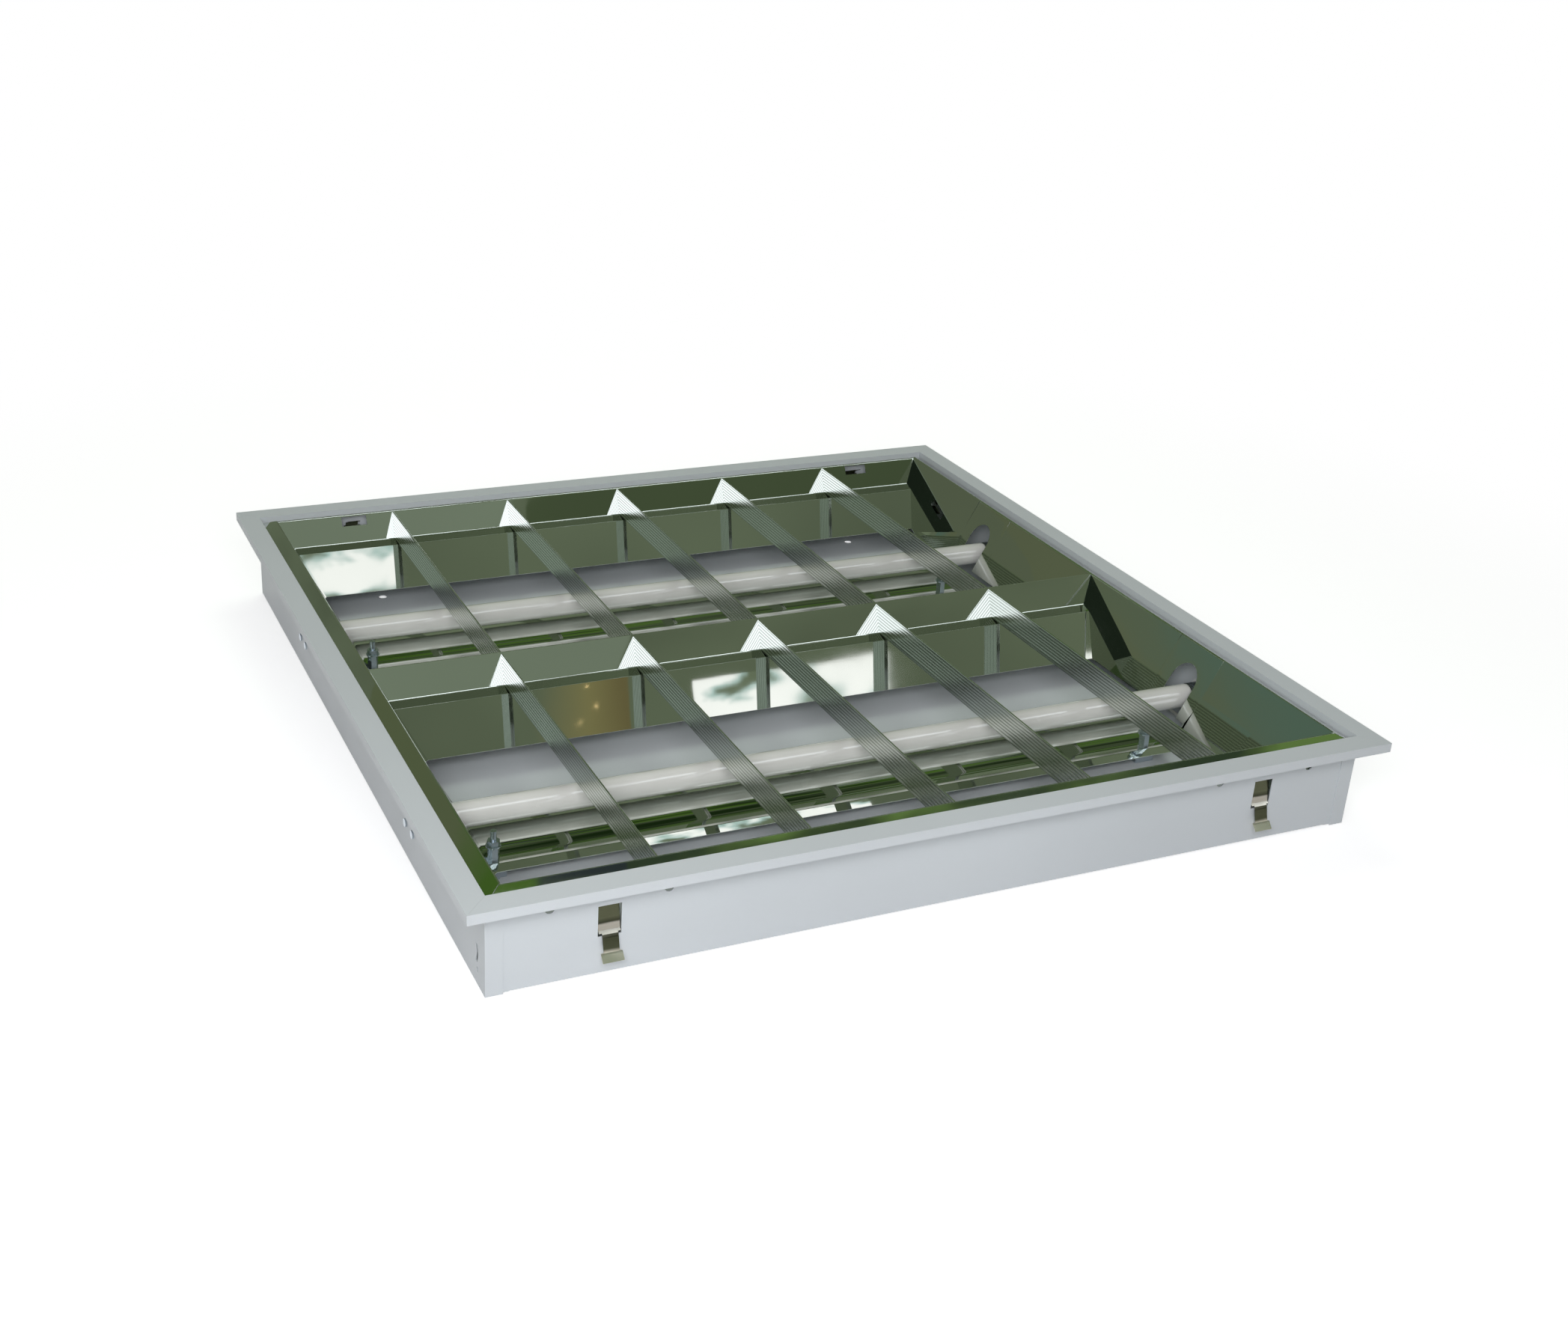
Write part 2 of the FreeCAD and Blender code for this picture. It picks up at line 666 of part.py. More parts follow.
def end_reflector(label, turn):
    """Sloped end mirror with its lip and two arches that clear the lamps.

    Its bands are cut at the arches' sides and crowns, so that their hulls leave the arches open.
    """
    mirror = new_body(label + "_sheet", turn=turn)
    lip_run = size("lip_half") - LIP
    slope = size("end_slope")
    depth = size("skirt_drop") - size("crease_drop")
    outer = (LIP + lip_run, TOP - size("lip_drop"))
    foot = (LIP - slope * depth, CREASE - depth)
    points = [outer, (LIP, CREASE), foot, (foot[0] + MIRROR * 1.1, foot[1]),
              (LIP + MIRROR * 0.8, CREASE - MIRROR * 1.15),
              (outer[0], outer[1] - MIRROR * 1.1)]
    pad(mirror, outline(mirror, label + "_section", "XZ_Plane", points), size("lip_half") * 2)
    for side, name in ((1, "far"), (-1, "near")):
        mitre = [(LIP, LIP * side), (LIP + lip_run + 1.0, (LIP + lip_run + 1.0) * side),
                 (LIP + lip_run + 1.0, FAR_OFF * side), (0.0, FAR_OFF * side),
                 (0.0, LIP * side)]
        pocket(mirror, outline(mirror, "%s_mitre_%s" % (label, name), "XY_Plane", mitre), FAR_OFF)
    arches = mirror.newObject("Sketcher::SketchObject", label + "_arches")
    arches.AttachmentSupport = [(plane_of(mirror, "YZ_Plane"), "")]
    arches.MapMode = "FlatFace"
    half_arch = size("arch_half")
    spring = TOP - size("arch_top") - half_arch
    for side in (1, -1):
        middle = size("lamp_y") * side
        add_arch(arches, middle, half_arch, spring, TOP - size("skirt_drop") - OVERRUN)
    pocket(mirror, arches, FAR_OFF * 2)
    crown = size("arch_crown")
    cuts = []
    for side in (-1, 1):
        for offset in (-half_arch, -crown, crown, half_arch):
            cuts.append(size("lamp_y") * side + offset)
    bands(label, mirror, "y", cuts)


def add_arch(sketch, middle, half_width, spring, foot):
    """A round-topped opening: two upright sides, a sill and a half circle above them."""
    centre = Vector(value(middle), value(spring), 0)
    left = value(middle) - value(half_width)
    right = value(middle) + value(half_width)
    base = sketch.GeometryCount
    arc = Part.ArcOfCircle(Part.Circle(centre, Vector(0, 0, 1), value(half_width)), 0, math.pi)
    sketch.addGeometry(arc, False)
    corners = [Vector(left, value(spring), 0), Vector(left, value(foot), 0),
               Vector(right, value(foot), 0), Vector(right, value(spring), 0)]
    for start, end in zip(corners, corners[1:]):
        sketch.addGeometry(Part.LineSegment(start, end), False)
    sketch.addConstraint(Sketcher.Constraint("Tangent", base, 2, base + 1, 1))
    sketch.addConstraint(Sketcher.Constraint("Tangent", base, 1, base + 3, 2))
    sketch.addConstraint(Sketcher.Constraint("Coincident", base + 1, 2, base + 2, 1))
    sketch.addConstraint(Sketcher.Constraint("Coincident", base + 2, 2, base + 3, 1))
    sketch.addConstraint(Sketcher.Constraint("Vertical", base + 1))
    sketch.addConstraint(Sketcher.Constraint("Vertical", base + 3))
    sketch.addConstraint(Sketcher.Constraint("Horizontal", base + 2))
    bound = ((("DistanceX", -1, 1, base, 3), middle), (("DistanceY", -1, 1, base, 3), spring),
             (("DistanceY", -1, 1, base + 1, 2), foot), (("Radius", base), half_width))
    for rule, length in bound:
        index = sketch.addConstraint(Sketcher.Constraint(*rule, value(length)))
        sketch.setExpression("Constraints[%d]" % index, Size.of(length).text)


def cross_blade(label, x, y):
    """Folded cross blade, its ends cut to the slope of the upper facets it stands between."""
    blade = body(label, x=x, y=y)
    top = TOP - size("blade_drop")
    foot = top - size("blade_height")
    half = size("blade_half")
    skin = size("blade_sheet")
    points = [(half, foot), (size("blade_fold"), top), (-size("blade_fold"), top), (-half, foot),
              (-half + skin, foot), (0.0, top - skin * 2.6), (half - skin, foot)]
    # half the distance from the ridge's middle to the side crease
    half_channel = LIP / 2
    pad(blade, outline(blade, label + "_section", "XZ_Plane", points), half_channel * 2)
    gap = size("joint_gap")
    run_per_drop = size("facet_run") / (size("facet_drop") - size("crease_drop"))
    for side, name in ((1, "far"), (-1, "near")):
        # the facet starts at the crease level; its slope is carried on above and below
        above = half_channel + run_per_drop * OVERRUN - gap
        below = half_channel - run_per_drop * CUT_DEPTH - gap
        ends = [(above * side, CREASE + OVERRUN), (below * side, CREASE - CUT_DEPTH),
                (FAR_OFF * side, CREASE - CUT_DEPTH), (FAR_OFF * side, CREASE + OVERRUN)]
        cutter = outline(blade, "%s_end_%s" % (label, name), "YZ_Plane", ends)
        pocket(blade, cutter, half * 3)


# ---------------------------------------------------------------- lamps and holders
LAMP_Z = TOP - size("lamp_drop")


def lamp(name, side):
    """One tubular lamp: glass, two end caps, four pins and the holder rotors that turn with it."""
    y = size("lamp_y") * side
    glass = cylinder("glass_" + name, "x", (-size("glass_half"), y, LAMP_Z),
                     size("lamp_radius"), size("glass_half") * 2)
    hollow = cylinder("glass_bore_" + name, "x", (-size("glass_half") - 1.0, y, LAMP_Z),
                      size("lamp_radius") - size("glass_wall"), size("glass_half") * 2 + 2.0)
    keep(cut("glass_" + name, glass, [hollow]), "lamp_glass_" + name)
    pins = []
    for end, end_name in ((-1, "left"), (1, "right")):
        cap_long = size("cap_half") - size("glass_half") - size("joint_gap")
        start = size("glass_half") + size("joint_gap") if end > 0 else -size("cap_half")
        keep(cylinder("cap_%s_%s" % (name, end_name), "x", (start, y, LAMP_Z),
                      size("cap_radius"), cap_long), "lamp_cap_%s_%s" % (name, end_name))
        pin_long = size("pin_half") - size("cap_half")
        pin_start = size("cap_half") if end > 0 else -size("pin_half")
        for offset in (-1, 1):
            pins.append(cylinder("pin_%s_%s" % (name, end_name), "x",
                                 (pin_start, y + size("pin_offset") * offset, LAMP_Z),
                                 size("pin_radius"), pin_long))
        rotor(name, end, end_name, y)
    keep(group("pins_" + name, pins), "lamp_pins_" + name)


def rotor(name, end, end_name, y):
    """Slotted disc of the holder that grips the pins and turns with them."""
    long = size("rotor_back") - size("rotor_front")
    start = size("rotor_front") if end > 0 else -size("rotor_back")
    disc = cylinder("rotor_%s_%s" % (name, end_name), "x", (start, y, LAMP_Z),
                    size("rotor_radius"), long)
    slot = box("rotor_slot_%s_%s" % (name, end_name), (start - 1.0, start + long + 1.0),
               (y - size("pin_offset") - size("rotor_slot"), y + size("rotor_radius") + 2.0),
               (LAMP_Z - size("rotor_slot"), LAMP_Z + size("rotor_slot")))
    keep(cut("rotor_%s_%s" % (name, end_name), disc, [slot]), "holder_rotor_%s_%s" % (name, end_name))


def lampholder(name, side, end, end_name):
    """Two-pin holder against the end plate, with the rotor's bore and the way in for the pins."""
    y = size("lamp_y") * side
    label = "lampholder_%s_%s" % (name, end_name)
    half = size("holder_half")
    front = size("holder_front")
    back = size("holder_back")

    def span(near_end, far_end):
        return (near_end, far_end) if end > 0 else (-far_end, -near_end)

    block = box(label + "_block", span(front, back), (y - half, y + half),
                (size("holder_floor"), LAMP_Z))
    crown = cylinder(label + "_crown", "x", (span(front, back)[0], y, LAMP_Z), half, back - front)
    bore_back = size("rotor_back") + size("bore_floor")
    bore = cylinder(label + "_bore", "x", (span(front - 1.0, bore_back)[0], y, LAMP_Z),
                    size("rotor_bore"), bore_back - front + 1.0)
    well_back = size("pin_half") + size("pin_room")
    well = cylinder(label + "_well", "x", (span(front - 1.0, well_back)[0], y, LAMP_Z),
                    size("pin_offset") + size("pin_radius") + size("pin_play"), well_back - front + 1.0)
    way_in = box(label + "_way_in", span(front - 1.0, well_back),
                 (y - size("holder_slot"), y + size("holder_slot")), (LAMP_Z, LAMP_Z + half + 1.0))
    solid = cut(label, fuse(label, [block, crown]), [bore, well, way_in])
    keep(solid, label)


def holder_rivets():
    """Two rivets through the end plate behind each holder, their heads outside."""
    items = []
    for end in (-1, 1):
        for side in (-1, 1):
            for offset in (-1, 1):
                y = size("lamp_y") * side + size("rivet_offset") * offset
                z = TOP - size("rivet_depth")
                outer = WALL_X + SHEET + size("joint_gap")
                shank_start = size("holder_back") + size("rivet_end_gap")
                shank_long = outer - shank_start + size("rivet_seat")
                head_start = outer
                if end < 0:
                    shank_start = -(shank_start + shank_long)
                    head_start = -(outer + size("rivet_height"))
                shank = cylinder("rivet_shank", "x", (shank_start, y, z),
                                 size("rivet_radius") - size("rivet_play"), shank_long)
                head = cylinder("rivet_head", "x", (head_start, y, z), size("rivet_head"),
                                size("rivet_height"))
                items.append(fuse("rivet", [shank, head]))
    keep(group("holder_rivets", items), "holder_rivets")


# ---------------------------------------------------------------- reflectors behind the lamps
def lamp_reflector(label, side):
    """Mirror strip under a lamp: a shallow arch, a flat each side and a turned-down lip.

    The section is one sheet thick and runs along the lamp. Its arch is a true arc, so it is
    made from lines and arcs in code, which reads its sizes from the sheet.
    """
    crease = SIZES["total_height"] - SIZES["strip_crease"]
    flat = SIZES["strip_flat"]
    fold = SIZES["strip_fold"]
    edge = SIZES["strip_half"]
    lip = crease - SIZES["strip_lip_drop"]
    crown = crease + SIZES["strip_rise"]
    skin = SIZES["mirror"]

    def point(y, z):
        return Vector(0, y, z)

    upper = [(edge, lip), (fold, crease), (flat, crease)]
    lower = [(edge - skin * 0.35, lip - skin), (fold - skin * 0.2, crease - skin),
             (flat, crease - skin)]
    edges = []
    for start, end in zip(upper, upper[1:]):
        edges.append(Part.LineSegment(point(*start), point(*end)).toShape())
    edges.append(Part.Arc(point(flat, crease), point(0, crown), point(-flat, crease)).toShape())
    for start, end in zip(upper[::-1], upper[-2::-1]):
        edges.append(Part.LineSegment(point(-start[0], start[1]), point(-end[0], end[1])).toShape())
    edges.append(Part.LineSegment(point(-edge, lip), point(-lower[0][0], lower[0][1])).toShape())
    for start, end in zip(lower, lower[1:]):
        edges.append(Part.LineSegment(point(-start[0], start[1]), point(-end[0], end[1])).toShape())
    edges.append(Part.Arc(point(-flat, crease - skin), point(0, crown - skin),
                          point(flat, crease - skin)).toShape())
    for start, end in zip(lower[::-1], lower[-2::-1]):
        edges.append(Part.LineSegment(point(*start), point(*end)).toShape())
    edges.append(Part.LineSegment(point(*lower[0]), point(edge, lip)).toShape())
    section = Part.Face(Part.Wire(edges))
    strip = section.extrude(Vector(SIZES["strip_right"] - SIZES["strip_left"], 0, 0))
    hole_radius = SIZES["stud_radius"] + SIZES["stud_hole_play"]
    for x in (SIZES["stud_left"], SIZES["stud_right"]):
        hole_at = Vector(x - SIZES["strip_left"], -SIZES["stud_offset"], crease - OVERRUN)
        strip = strip.cut(Part.makeCylinder(hole_radius, OVERRUN * 2, hole_at))
    item = doc.addObject("Part::Feature", label)
    item.Shape = strip
    item.Placement = FreeCAD.Placement(Vector(SIZES["strip_left"], SIZES["lamp_y"] * side, 0),
                                       FreeCAD.Rotation())
    keep(item, label)


def reflector_mounts():
    """Brackets on the back, studs, standoff nuts and clamp nuts that hold the lamp reflectors."""
    brackets, studs, standoffs, nuts = [], [], [], []
    crease_z = TOP - size("strip_crease")
    plate = size("bracket_sheet")
    seat = crease_z - MIRROR - GAP
    half = size("bracket_half_width")
    gap = size("joint_gap")
    bore = size("stud_radius") + size("thread_play")
    for side in (-1, 1):
        for x in (size("stud_left"), size("stud_right")):
            y = size("lamp_y") * side
            stud_y = y - size("stud_offset")
            foot_z = BACK_IN + gap
            span = (x - half, x + half)
            legs = []
            for direction in (-1, 1):
                reach = y + size("strip_fold") * direction
                low, high = (reach - plate, reach) if direction > 0 else (reach, reach + plate)
                legs.append(box("bracket_leg", span, (low, high), (foot_z, seat)))
                shelf_in = y + (size("stud_offset") - size("bracket_shelf")) * direction
                low, high = (shelf_in, reach) if direction > 0 else (reach, shelf_in)
                legs.append(box("bracket_shelf", span, (low, high), (seat - plate, seat)))
            legs.append(box("bracket_base", span, (y - size("strip_fold"), y + size("strip_fold")),
                            (foot_z, foot_z + plate)))
            bracket = fuse("bracket", legs)
            hole = cylinder("bracket_hole", "z", (x, stud_y, foot_z + plate * 1.5), bore, CUT_LONG)
            brackets.append(cut("bracket", bracket, [hole]))
            stud_z = foot_z + plate + gap
            studs.append(cylinder("stud", "z", (x, stud_y, stud_z), size("stud_radius"),
                                  TOP - size("stud_top") - stud_z))
            base_z = crease_z + gap
            standoff = hexagon("standoff", (x, stud_y, base_z), size("standoff_radius"),
                               size("standoff_height"))
            standoffs.append(cut("standoff", standoff, [
                cylinder("standoff_bore", "z", (x, stud_y, base_z - OVERRUN), bore, CUT_LONG)]))
            nut_z = base_z + size("nut_lift")
            nut_foot = nut_z - size("washer_gap")
            washer = cylinder("washer", "z", (x, stud_y, nut_foot - size("washer_sheet")),
                              size("nut_radius") + size("washer_rim"), size("washer_sheet"))
            nut = hexagon("nut", (x, stud_y, nut_foot), size("nut_radius"), size("nut_height"))
            nuts.append(cut("nut", fuse("nut", [washer, nut]), [
                cylinder("nut_bore", "z", (x, stud_y, nut_z - OVERRUN), bore, CUT_LONG)]))
    keep(group("reflector_brackets", brackets), "reflector_brackets")
    keep(group("reflector_studs", studs), "reflector_studs")
    keep(group("standoff_nuts", standoffs), "standoff_nuts")
    keep(group("clamp_nuts", nuts), "clamp_nuts")


# ---------------------------------------------------------------- spring clips
CLIP_PATH = (
    # middle line of the bent strip: distance inwards from the wall's outer face, and drop
    (13.7, 5.6), (4.6, 9.4), (3.3, 20.5), (1.9, 27.5), (1.4, 33.0), (1.0, 35.2), (-0.9, 36.9),
    (-1.6, 38.8), (-3.9, 46.6), (-7.4, 50.8))


def strip_outline(path, thickness):
    """Both sides of a bent strip: each corner is moved along its mitre by half the thickness."""
    first_side, second_side = [], []
    for index, (across, along) in enumerate(path):
        directions = []
        for start, end in ((index - 1, index), (index, index + 1)):
            if 0 <= start and end < len(path):
                step = (path[end][0] - path[start][0], path[end][1] - path[start][1])
                long = math.hypot(*step)
                directions.append((step[0] / long, step[1] / long))
        tangent = [sum(part) for part in zip(*directions)]
        long = math.hypot(*tangent)
        normal = (-tangent[1] / long, tangent[0] / long)
        # a mitred corner stands off by more than half the thickness
        lean = abs(normal[0] * -directions[0][1] + normal[1] * directions[0][0])
        reach = thickness / 2 / lean
        first_side.append((across + normal[0] * reach, along + normal[1] * reach))
        second_side.append((across - normal[0] * reach, along - normal[1] * reach))
    return first_side + second_side[::-1]


def spring_clip(label, x, y, turn):
    """Bent spring strip: nose for the louvre, leaf in the window, neck and flared foot.

    It is drawn for the near wall with its first coordinate running inwards from the wall's
    outer face, and turned half way round for the far wall.
    """
    clip = body(label, x=x, y=y, turn=turn)
    corners = strip_outline(CLIP_PATH, SIZES["clip_sheet"])
    points = [(across, TOP - drop) for across, drop in corners]
    pad(clip, outline(clip, label + "_section", "YZ_Plane", points), size("clip_half") * 2)
    for side, name in ((1, "right"), (-1, "left")):
        narrow = size("clip_neck") * side
        beyond = size("clip_half") * 2 * side
        neck = [(narrow, TOP - size("neck_top")), (narrow, TOP - size("neck_bottom")),
                (beyond, TOP - size("foot_top")), (beyond, TOP - size("neck_top"))]
        pocket(clip, outline(clip, "%s_neck_%s" % (label, name), "XZ_Plane", neck), CUT_DEPTH)
        nose = [(narrow, TOP), (narrow, TOP - size("nose_bottom")),
                (beyond, TOP - size("nose_bottom")), (beyond, TOP)]
        pocket(clip, outline(clip, "%s_nose_%s" % (label, name), "XZ_Plane", nose), CUT_DEPTH)


# ---------------------------------------------------------------- control gear and wiring
BOARD_COMPONENTS = ((-80.0, 24.0), (-20.0, 18.0), (40.0, 26.0), (110.0, 20.0), (180.0, 30.0))
# left end and length of each component on the board
BOARD_FEET = (-60.0, 200.0)
# left end of each foot under the board


def control_gear():
    """Electronic ballast under the ridge: base with lugs, lid, circuit board and screws."""
    left = size("gear_left")
    right = size("gear_right")
    half = size("gear_half")
    skin = size("gear_sheet")
    gap = size("joint_gap")
    floor = BACK_IN + gap
    lug = size("gear_lug")
    base = box("gear_base_plate", (left - lug, right + lug), (-half, half), (floor, floor + skin))
    screw_x = (left - lug / 2, right + lug / 2)
    holes = [cylinder("gear_hole", "z", (x, 0.0, 0.0), size("lug_hole_radius"), CUT_LONG)
             for x in screw_x]
    keep(cut("gear_base", base, holes), "ballast_base")
    lid_floor = floor + skin + gap
    lid_top = floor + size("gear_height")
    shell = box("gear_shell", (left, right), (-half, half), (lid_floor, lid_top))
    inside = box("gear_inside", (left + skin, right - skin), (-half + skin, half - skin),
                 (lid_floor - OVERRUN, lid_top - skin))
    port_y = (-size("port_half"), size("port_half"))
    port_z = (lid_floor + size("port_low"), lid_floor + size("port_high"))
    port_depth = size("port_depth")
    ports = [box("gear_port", (left - OVERRUN, left + port_depth), port_y, port_z),
             box("gear_port", (right - port_depth, right + OVERRUN), port_y, port_z)]
    keep(cut("gear_lid", shell, [inside] + ports), "ballast_lid")
    board_z = lid_floor + size("board_lift")
    end_gap = size("board_end_gap")
    side_gap = size("board_side_gap")
    items = [box("gear_board", (left + end_gap, right - end_gap), (-half + side_gap, half - side_gap),
                 (board_z, board_z + size("board_sheet")))]
    component_y = (-size("component_half"), size("component_half"))
    component_z = (board_z + size("component_sink"), board_z + size("component_height"))
    for x, long in BOARD_COMPONENTS:
        items.append(box("gear_part", (x, x + long), component_y, component_z))
    foot_y = (-size("foot_half"), size("foot_half"))
    foot_z = (lid_floor, board_z + size("foot_sink"))
    for x in BOARD_FEET:
        items.append(box("gear_foot", (x, x + size("foot_long")), foot_y, foot_z))
    keep(fuse("gear_board", items), "ballast_board")
    screws = []
    slot_half = size("screw_slot_half")
    slot_z = floor + skin + size("screw_slot_floor")
    for x in screw_x:
        shank = cylinder("gear_screw_shank", "z", (x, 0.0, floor), size("screw_radius"),
                         skin + size("screw_sink"))
        head = cylinder("gear_screw_head", "z", (x, 0.0, floor + skin + gap), size("screw_head"),
                        size("screw_head_height"))
        drive = box("gear_screw_slot", (x - OVERRUN, x + OVERRUN), (-slot_half, slot_half),
                    (slot_z, slot_z + OVERRUN))
        screws.append(cut("gear_screw", fuse("gear_screw", [shank, head]), [drive]))
    keep(group("ballast_screws", screws), "ballast_screws")


def terminal_parts():
    """Three-pole terminal block, its screws, the earth stud and nut, and the entry grommet."""
    gap = size("joint_gap")
    floor = BACK_IN + gap
    x = size("block_x")
    half = size("block_half")
    long = size("block_long")
    block = box("block", (x - long, x + long), (-half, half), (floor, floor + size("block_height")))
    cuts = []
    screws = []
    mouth_half = size("mouth_half")
    mouth_in = half - size("mouth_depth")
    mouth_z = (floor + size("mouth_low"), floor + size("mouth_high"))
    well_z = floor + size("well_floor")
    slot_half = size("pole_slot_half")
    slot_z = floor + size("pole_slot_floor")
    for pole in (-1, 0, 1):
        pole_x = x + size("pole_pitch") * pole
        mouth_x = (pole_x - mouth_half, pole_x + mouth_half)
        cuts.append(box("block_mouth", mouth_x, (-half - OVERRUN, -mouth_in), mouth_z))
        cuts.append(box("block_mouth", mouth_x, (mouth_in, half + OVERRUN), mouth_z))
        cuts.append(cylinder("block_well", "z", (pole_x, 0.0, well_z), size("well_radius"), CUT_LONG))
        screw = cylinder("block_screw", "z", (pole_x, 0.0, well_z + gap), size("pole_screw_radius"),
                         size("pole_screw_height"))
        slot = box("block_screw_slot", (pole_x - OVERRUN, pole_x + OVERRUN), (-slot_half, slot_half),
                   (slot_z, slot_z + OVERRUN))
        screws.append(cut("block_screw", screw, [slot]))
    keep(cut("terminal_block", block, cuts), "terminal_block")
    keep(group("terminal_screws", screws), "terminal_screws")
    earth_x = x - size("earth_offset")
    earth_y = size("earth_y")
    keep(cylinder("earth_stud", "z", (earth_x, earth_y, floor), size("stud_radius"),
                  size("earth_height")), "earth_stud")
    nut = hexagon("earth_nut_body", (earth_x, earth_y, floor + size("earth_nut_lift")),
                  size("nut_radius"), size("nut_height"))
    bore = cylinder("earth_nut_bore", "z", (earth_x, earth_y, floor),
                    size("stud_radius") + size("thread_play"), CUT_LONG)
    keep(cut("earth_nut", nut, [bore]), "earth_nut")
    entry = size("entry_x")
    entry_radius = size("entry_radius")
    neck = cylinder("grommet_neck", "z", (entry, 0.0, size("grommet_lift")), entry_radius - gap,
                    BACK_IN + size("grommet_neck"))
    inner = cylinder("grommet_inner", "z", (entry, 0.0, BACK_IN + gap),
                     entry_radius + size("grommet_rim"), size("grommet_rim_height"))
    hole = cylinder("grommet_hole", "z", (entry, 0.0, -OVERRUN), size("grommet_bore"), CUT_LONG)
    keep(cut("cable_grommet", fuse("grommet", [neck, inner]), [hole]), "cable_grommet")


def wire(points, radius):
    """A round wire along straight runs joined by tangent arcs; points are row positions."""
    corners = [Vector(*point) for point in points]
    edges = []
    start = corners[0]
    for before, corner, after in zip(corners, corners[1:], corners[2:]):
        incoming = (before - corner).normalize()
        outgoing = (after - corner).normalize()
        shorter = min((before - corner).Length, (after - corner).Length)
        reach = min(shorter * 0.45, 10.0)
        first = corner + incoming * reach
        last = corner + outgoing * reach
        half_turn = incoming.getAngle(outgoing) / 2
        bend = reach * math.tan(half_turn)
        centre = corner + (incoming + outgoing).normalize() * (reach / math.cos(half_turn))
        middle = centre + (corner - centre).normalize() * bend
        edges.append(Part.LineSegment(start, first).toShape())
        edges.append(Part.Arc(first, middle, last).toShape())
        start = last
    edges.append(Part.LineSegment(start, corners[-1]).toShape())
    path = Part.Wire(edges)
    direction = (corners[1] - corners[0]).normalize()
    ring = Part.Wire([Part.Circle(corners[0], direction, radius).toShape()])
    tube = path.makePipeShell([ring], True, False)
    expected = math.pi * radius * radius * path.Length
    if abs(tube.Volume - expected) > expected * 0.02:
        raise RuntimeError("wire volume %.1f, expected %.1f" % (tube.Volume, expected))
    return tube


def wiring():
    """Lamp wires from the ballast to the holders and supply wires to the terminal block.

    Every run lies on the back, under the louvre, so no wire is free.
    """
    radius = SIZES["wire_radius"]
    z = value(BACK_IN) + SIZES["wire_lift"]
    port_z = value(BACK_IN) + SIZES["gear_sheet"] + SIZES["port_wire_lift"]
    gear_right = SIZES["gear_right"]
    gear_left = SIZES["gear_left"]
    end_x = SIZES["holder_front"] - 4.0
    entry = SIZES["entry_x"]
    lamp_runs = []
    for side in (-1, 1):
        holder_y = side * (SIZES["lamp_y"] - SIZES["holder_half"] - 3.0)
        right = [(gear_right - 2.0, side * 4.0, port_z), (gear_right + 7.0, side * 4.0, port_z),
                 (gear_right + 16.0, side * 9.0, z), (end_x, side * 30.0, z),
                 (end_x + 0.2, side * 80.0, z), (end_x, holder_y, z)]
        lamp_runs.append(wire(right, radius))
        left = [(gear_left + 2.0, side * 5.0, port_z), (gear_left - 8.0, side * 6.0, port_z),
                (gear_left - 18.0, side * 13.0, z), (entry + 40.0, side * 13.4, z),
                (entry, side * 15.5, z), (entry - 48.0, side * 16.0, z),
                (-end_x + 0.4, side * 40.0, z), (-end_x, side * 90.0, z), (-end_x, holder_y, z)]
        lamp_runs.append(wire(left, radius))
    supply = []
    block_x = SIZES["block_x"]
    low_z = value(BACK_IN) + SIZES["pole_wire_lift"]
    for side, pole_x in ((1, block_x), (-1, block_x + SIZES["pole_pitch"])):
        supply.append(wire([(pole_x, side * 4.5, low_z), (pole_x, side * 12.5, low_z),
                            (pole_x + 12.0, side * 12.4, low_z + 1.2),
                            (gear_left - 8.0, side * 2.0, port_z), (gear_left + 2.0, side * 1.6, port_z)],
                           radius))
    for name, shapes in (("lamp_wiring", lamp_runs), ("supply_wiring", supply)):
        item = doc.addObject("Part::Feature", name)
        item.Shape = Part.makeCompound(shapes)
        item.Placement = FreeCAD.Placement()
        keep(item, name)


# ---------------------------------------------------------------- the whole object
housing_tray()
end_plate("end_plate_right", 0)
end_plate("end_plate_left", 180)
side_reflector("side_reflector_near", -LIP, 0)
side_reflector("side_reflector_far", LIP, 180)
ridge_reflector()
end_reflector("end_reflector_right", 0)
end_reflector("end_reflector_left", 180)
for channel, side in (("near", -1), ("far", 1)):
    for place_number in range(5):
        cross_blade("cross_blade_%s_%d" % (channel, place_number + 1),
                    size("blade_pitch") * (place_number - 2), LIP * side / 2)
for name, side in (("near", -1), ("far", 1)):
    lamp(name, side)
    lamp_reflector("lamp_reflector_" + name, side)
    for end, end_name in ((-1, "left"), (1, "right")):
        lampholder(name, side, end, end_name)
holder_rivets()
reflector_mounts()
wall_out = WALL_Y + SHEET
for end, end_name in ((-1, "left"), (1, "right")):
    clip_x = size("clip_pitch_half") * end
    spring_clip("spring_clip_near_" + end_name, clip_x, -wall_out, 0)
    spring_clip("spring_clip_far_" + end_name, clip_x, wall_out, 180)
control_gear()
terminal_parts()
wiring()
doc.recompute()

# ---------------------------------------------------------------- checks and export
for item in doc.Objects:
    if "Invalid" in item.State or "Error" in item.State:
        raise RuntimeError("%s did not compute: %s" % (item.Label, item.State))
for item in subparts:
    if item.Shape.isNull() or not item.Shape.isValid() or not item.Shape.Solids:
        raise RuntimeError("%s has no valid solid" % item.Label)
for item in subparts:
    bounds = item.Shape.BoundBox
    print("%-26s solids %2d  volume %10.1f  x %.1f..%.1f  y %.1f..%.1f  z %.1f..%.1f" % (
        item.Label, len(item.Shape.Solids), item.Shape.Volume, bounds.XMin, bounds.XMax,
        bounds.YMin, bounds.YMax, bounds.ZMin, bounds.ZMax))
    item.Shape.exportStep("parts/%s.step" % item.Label)
print("sub-parts:", len(subparts))
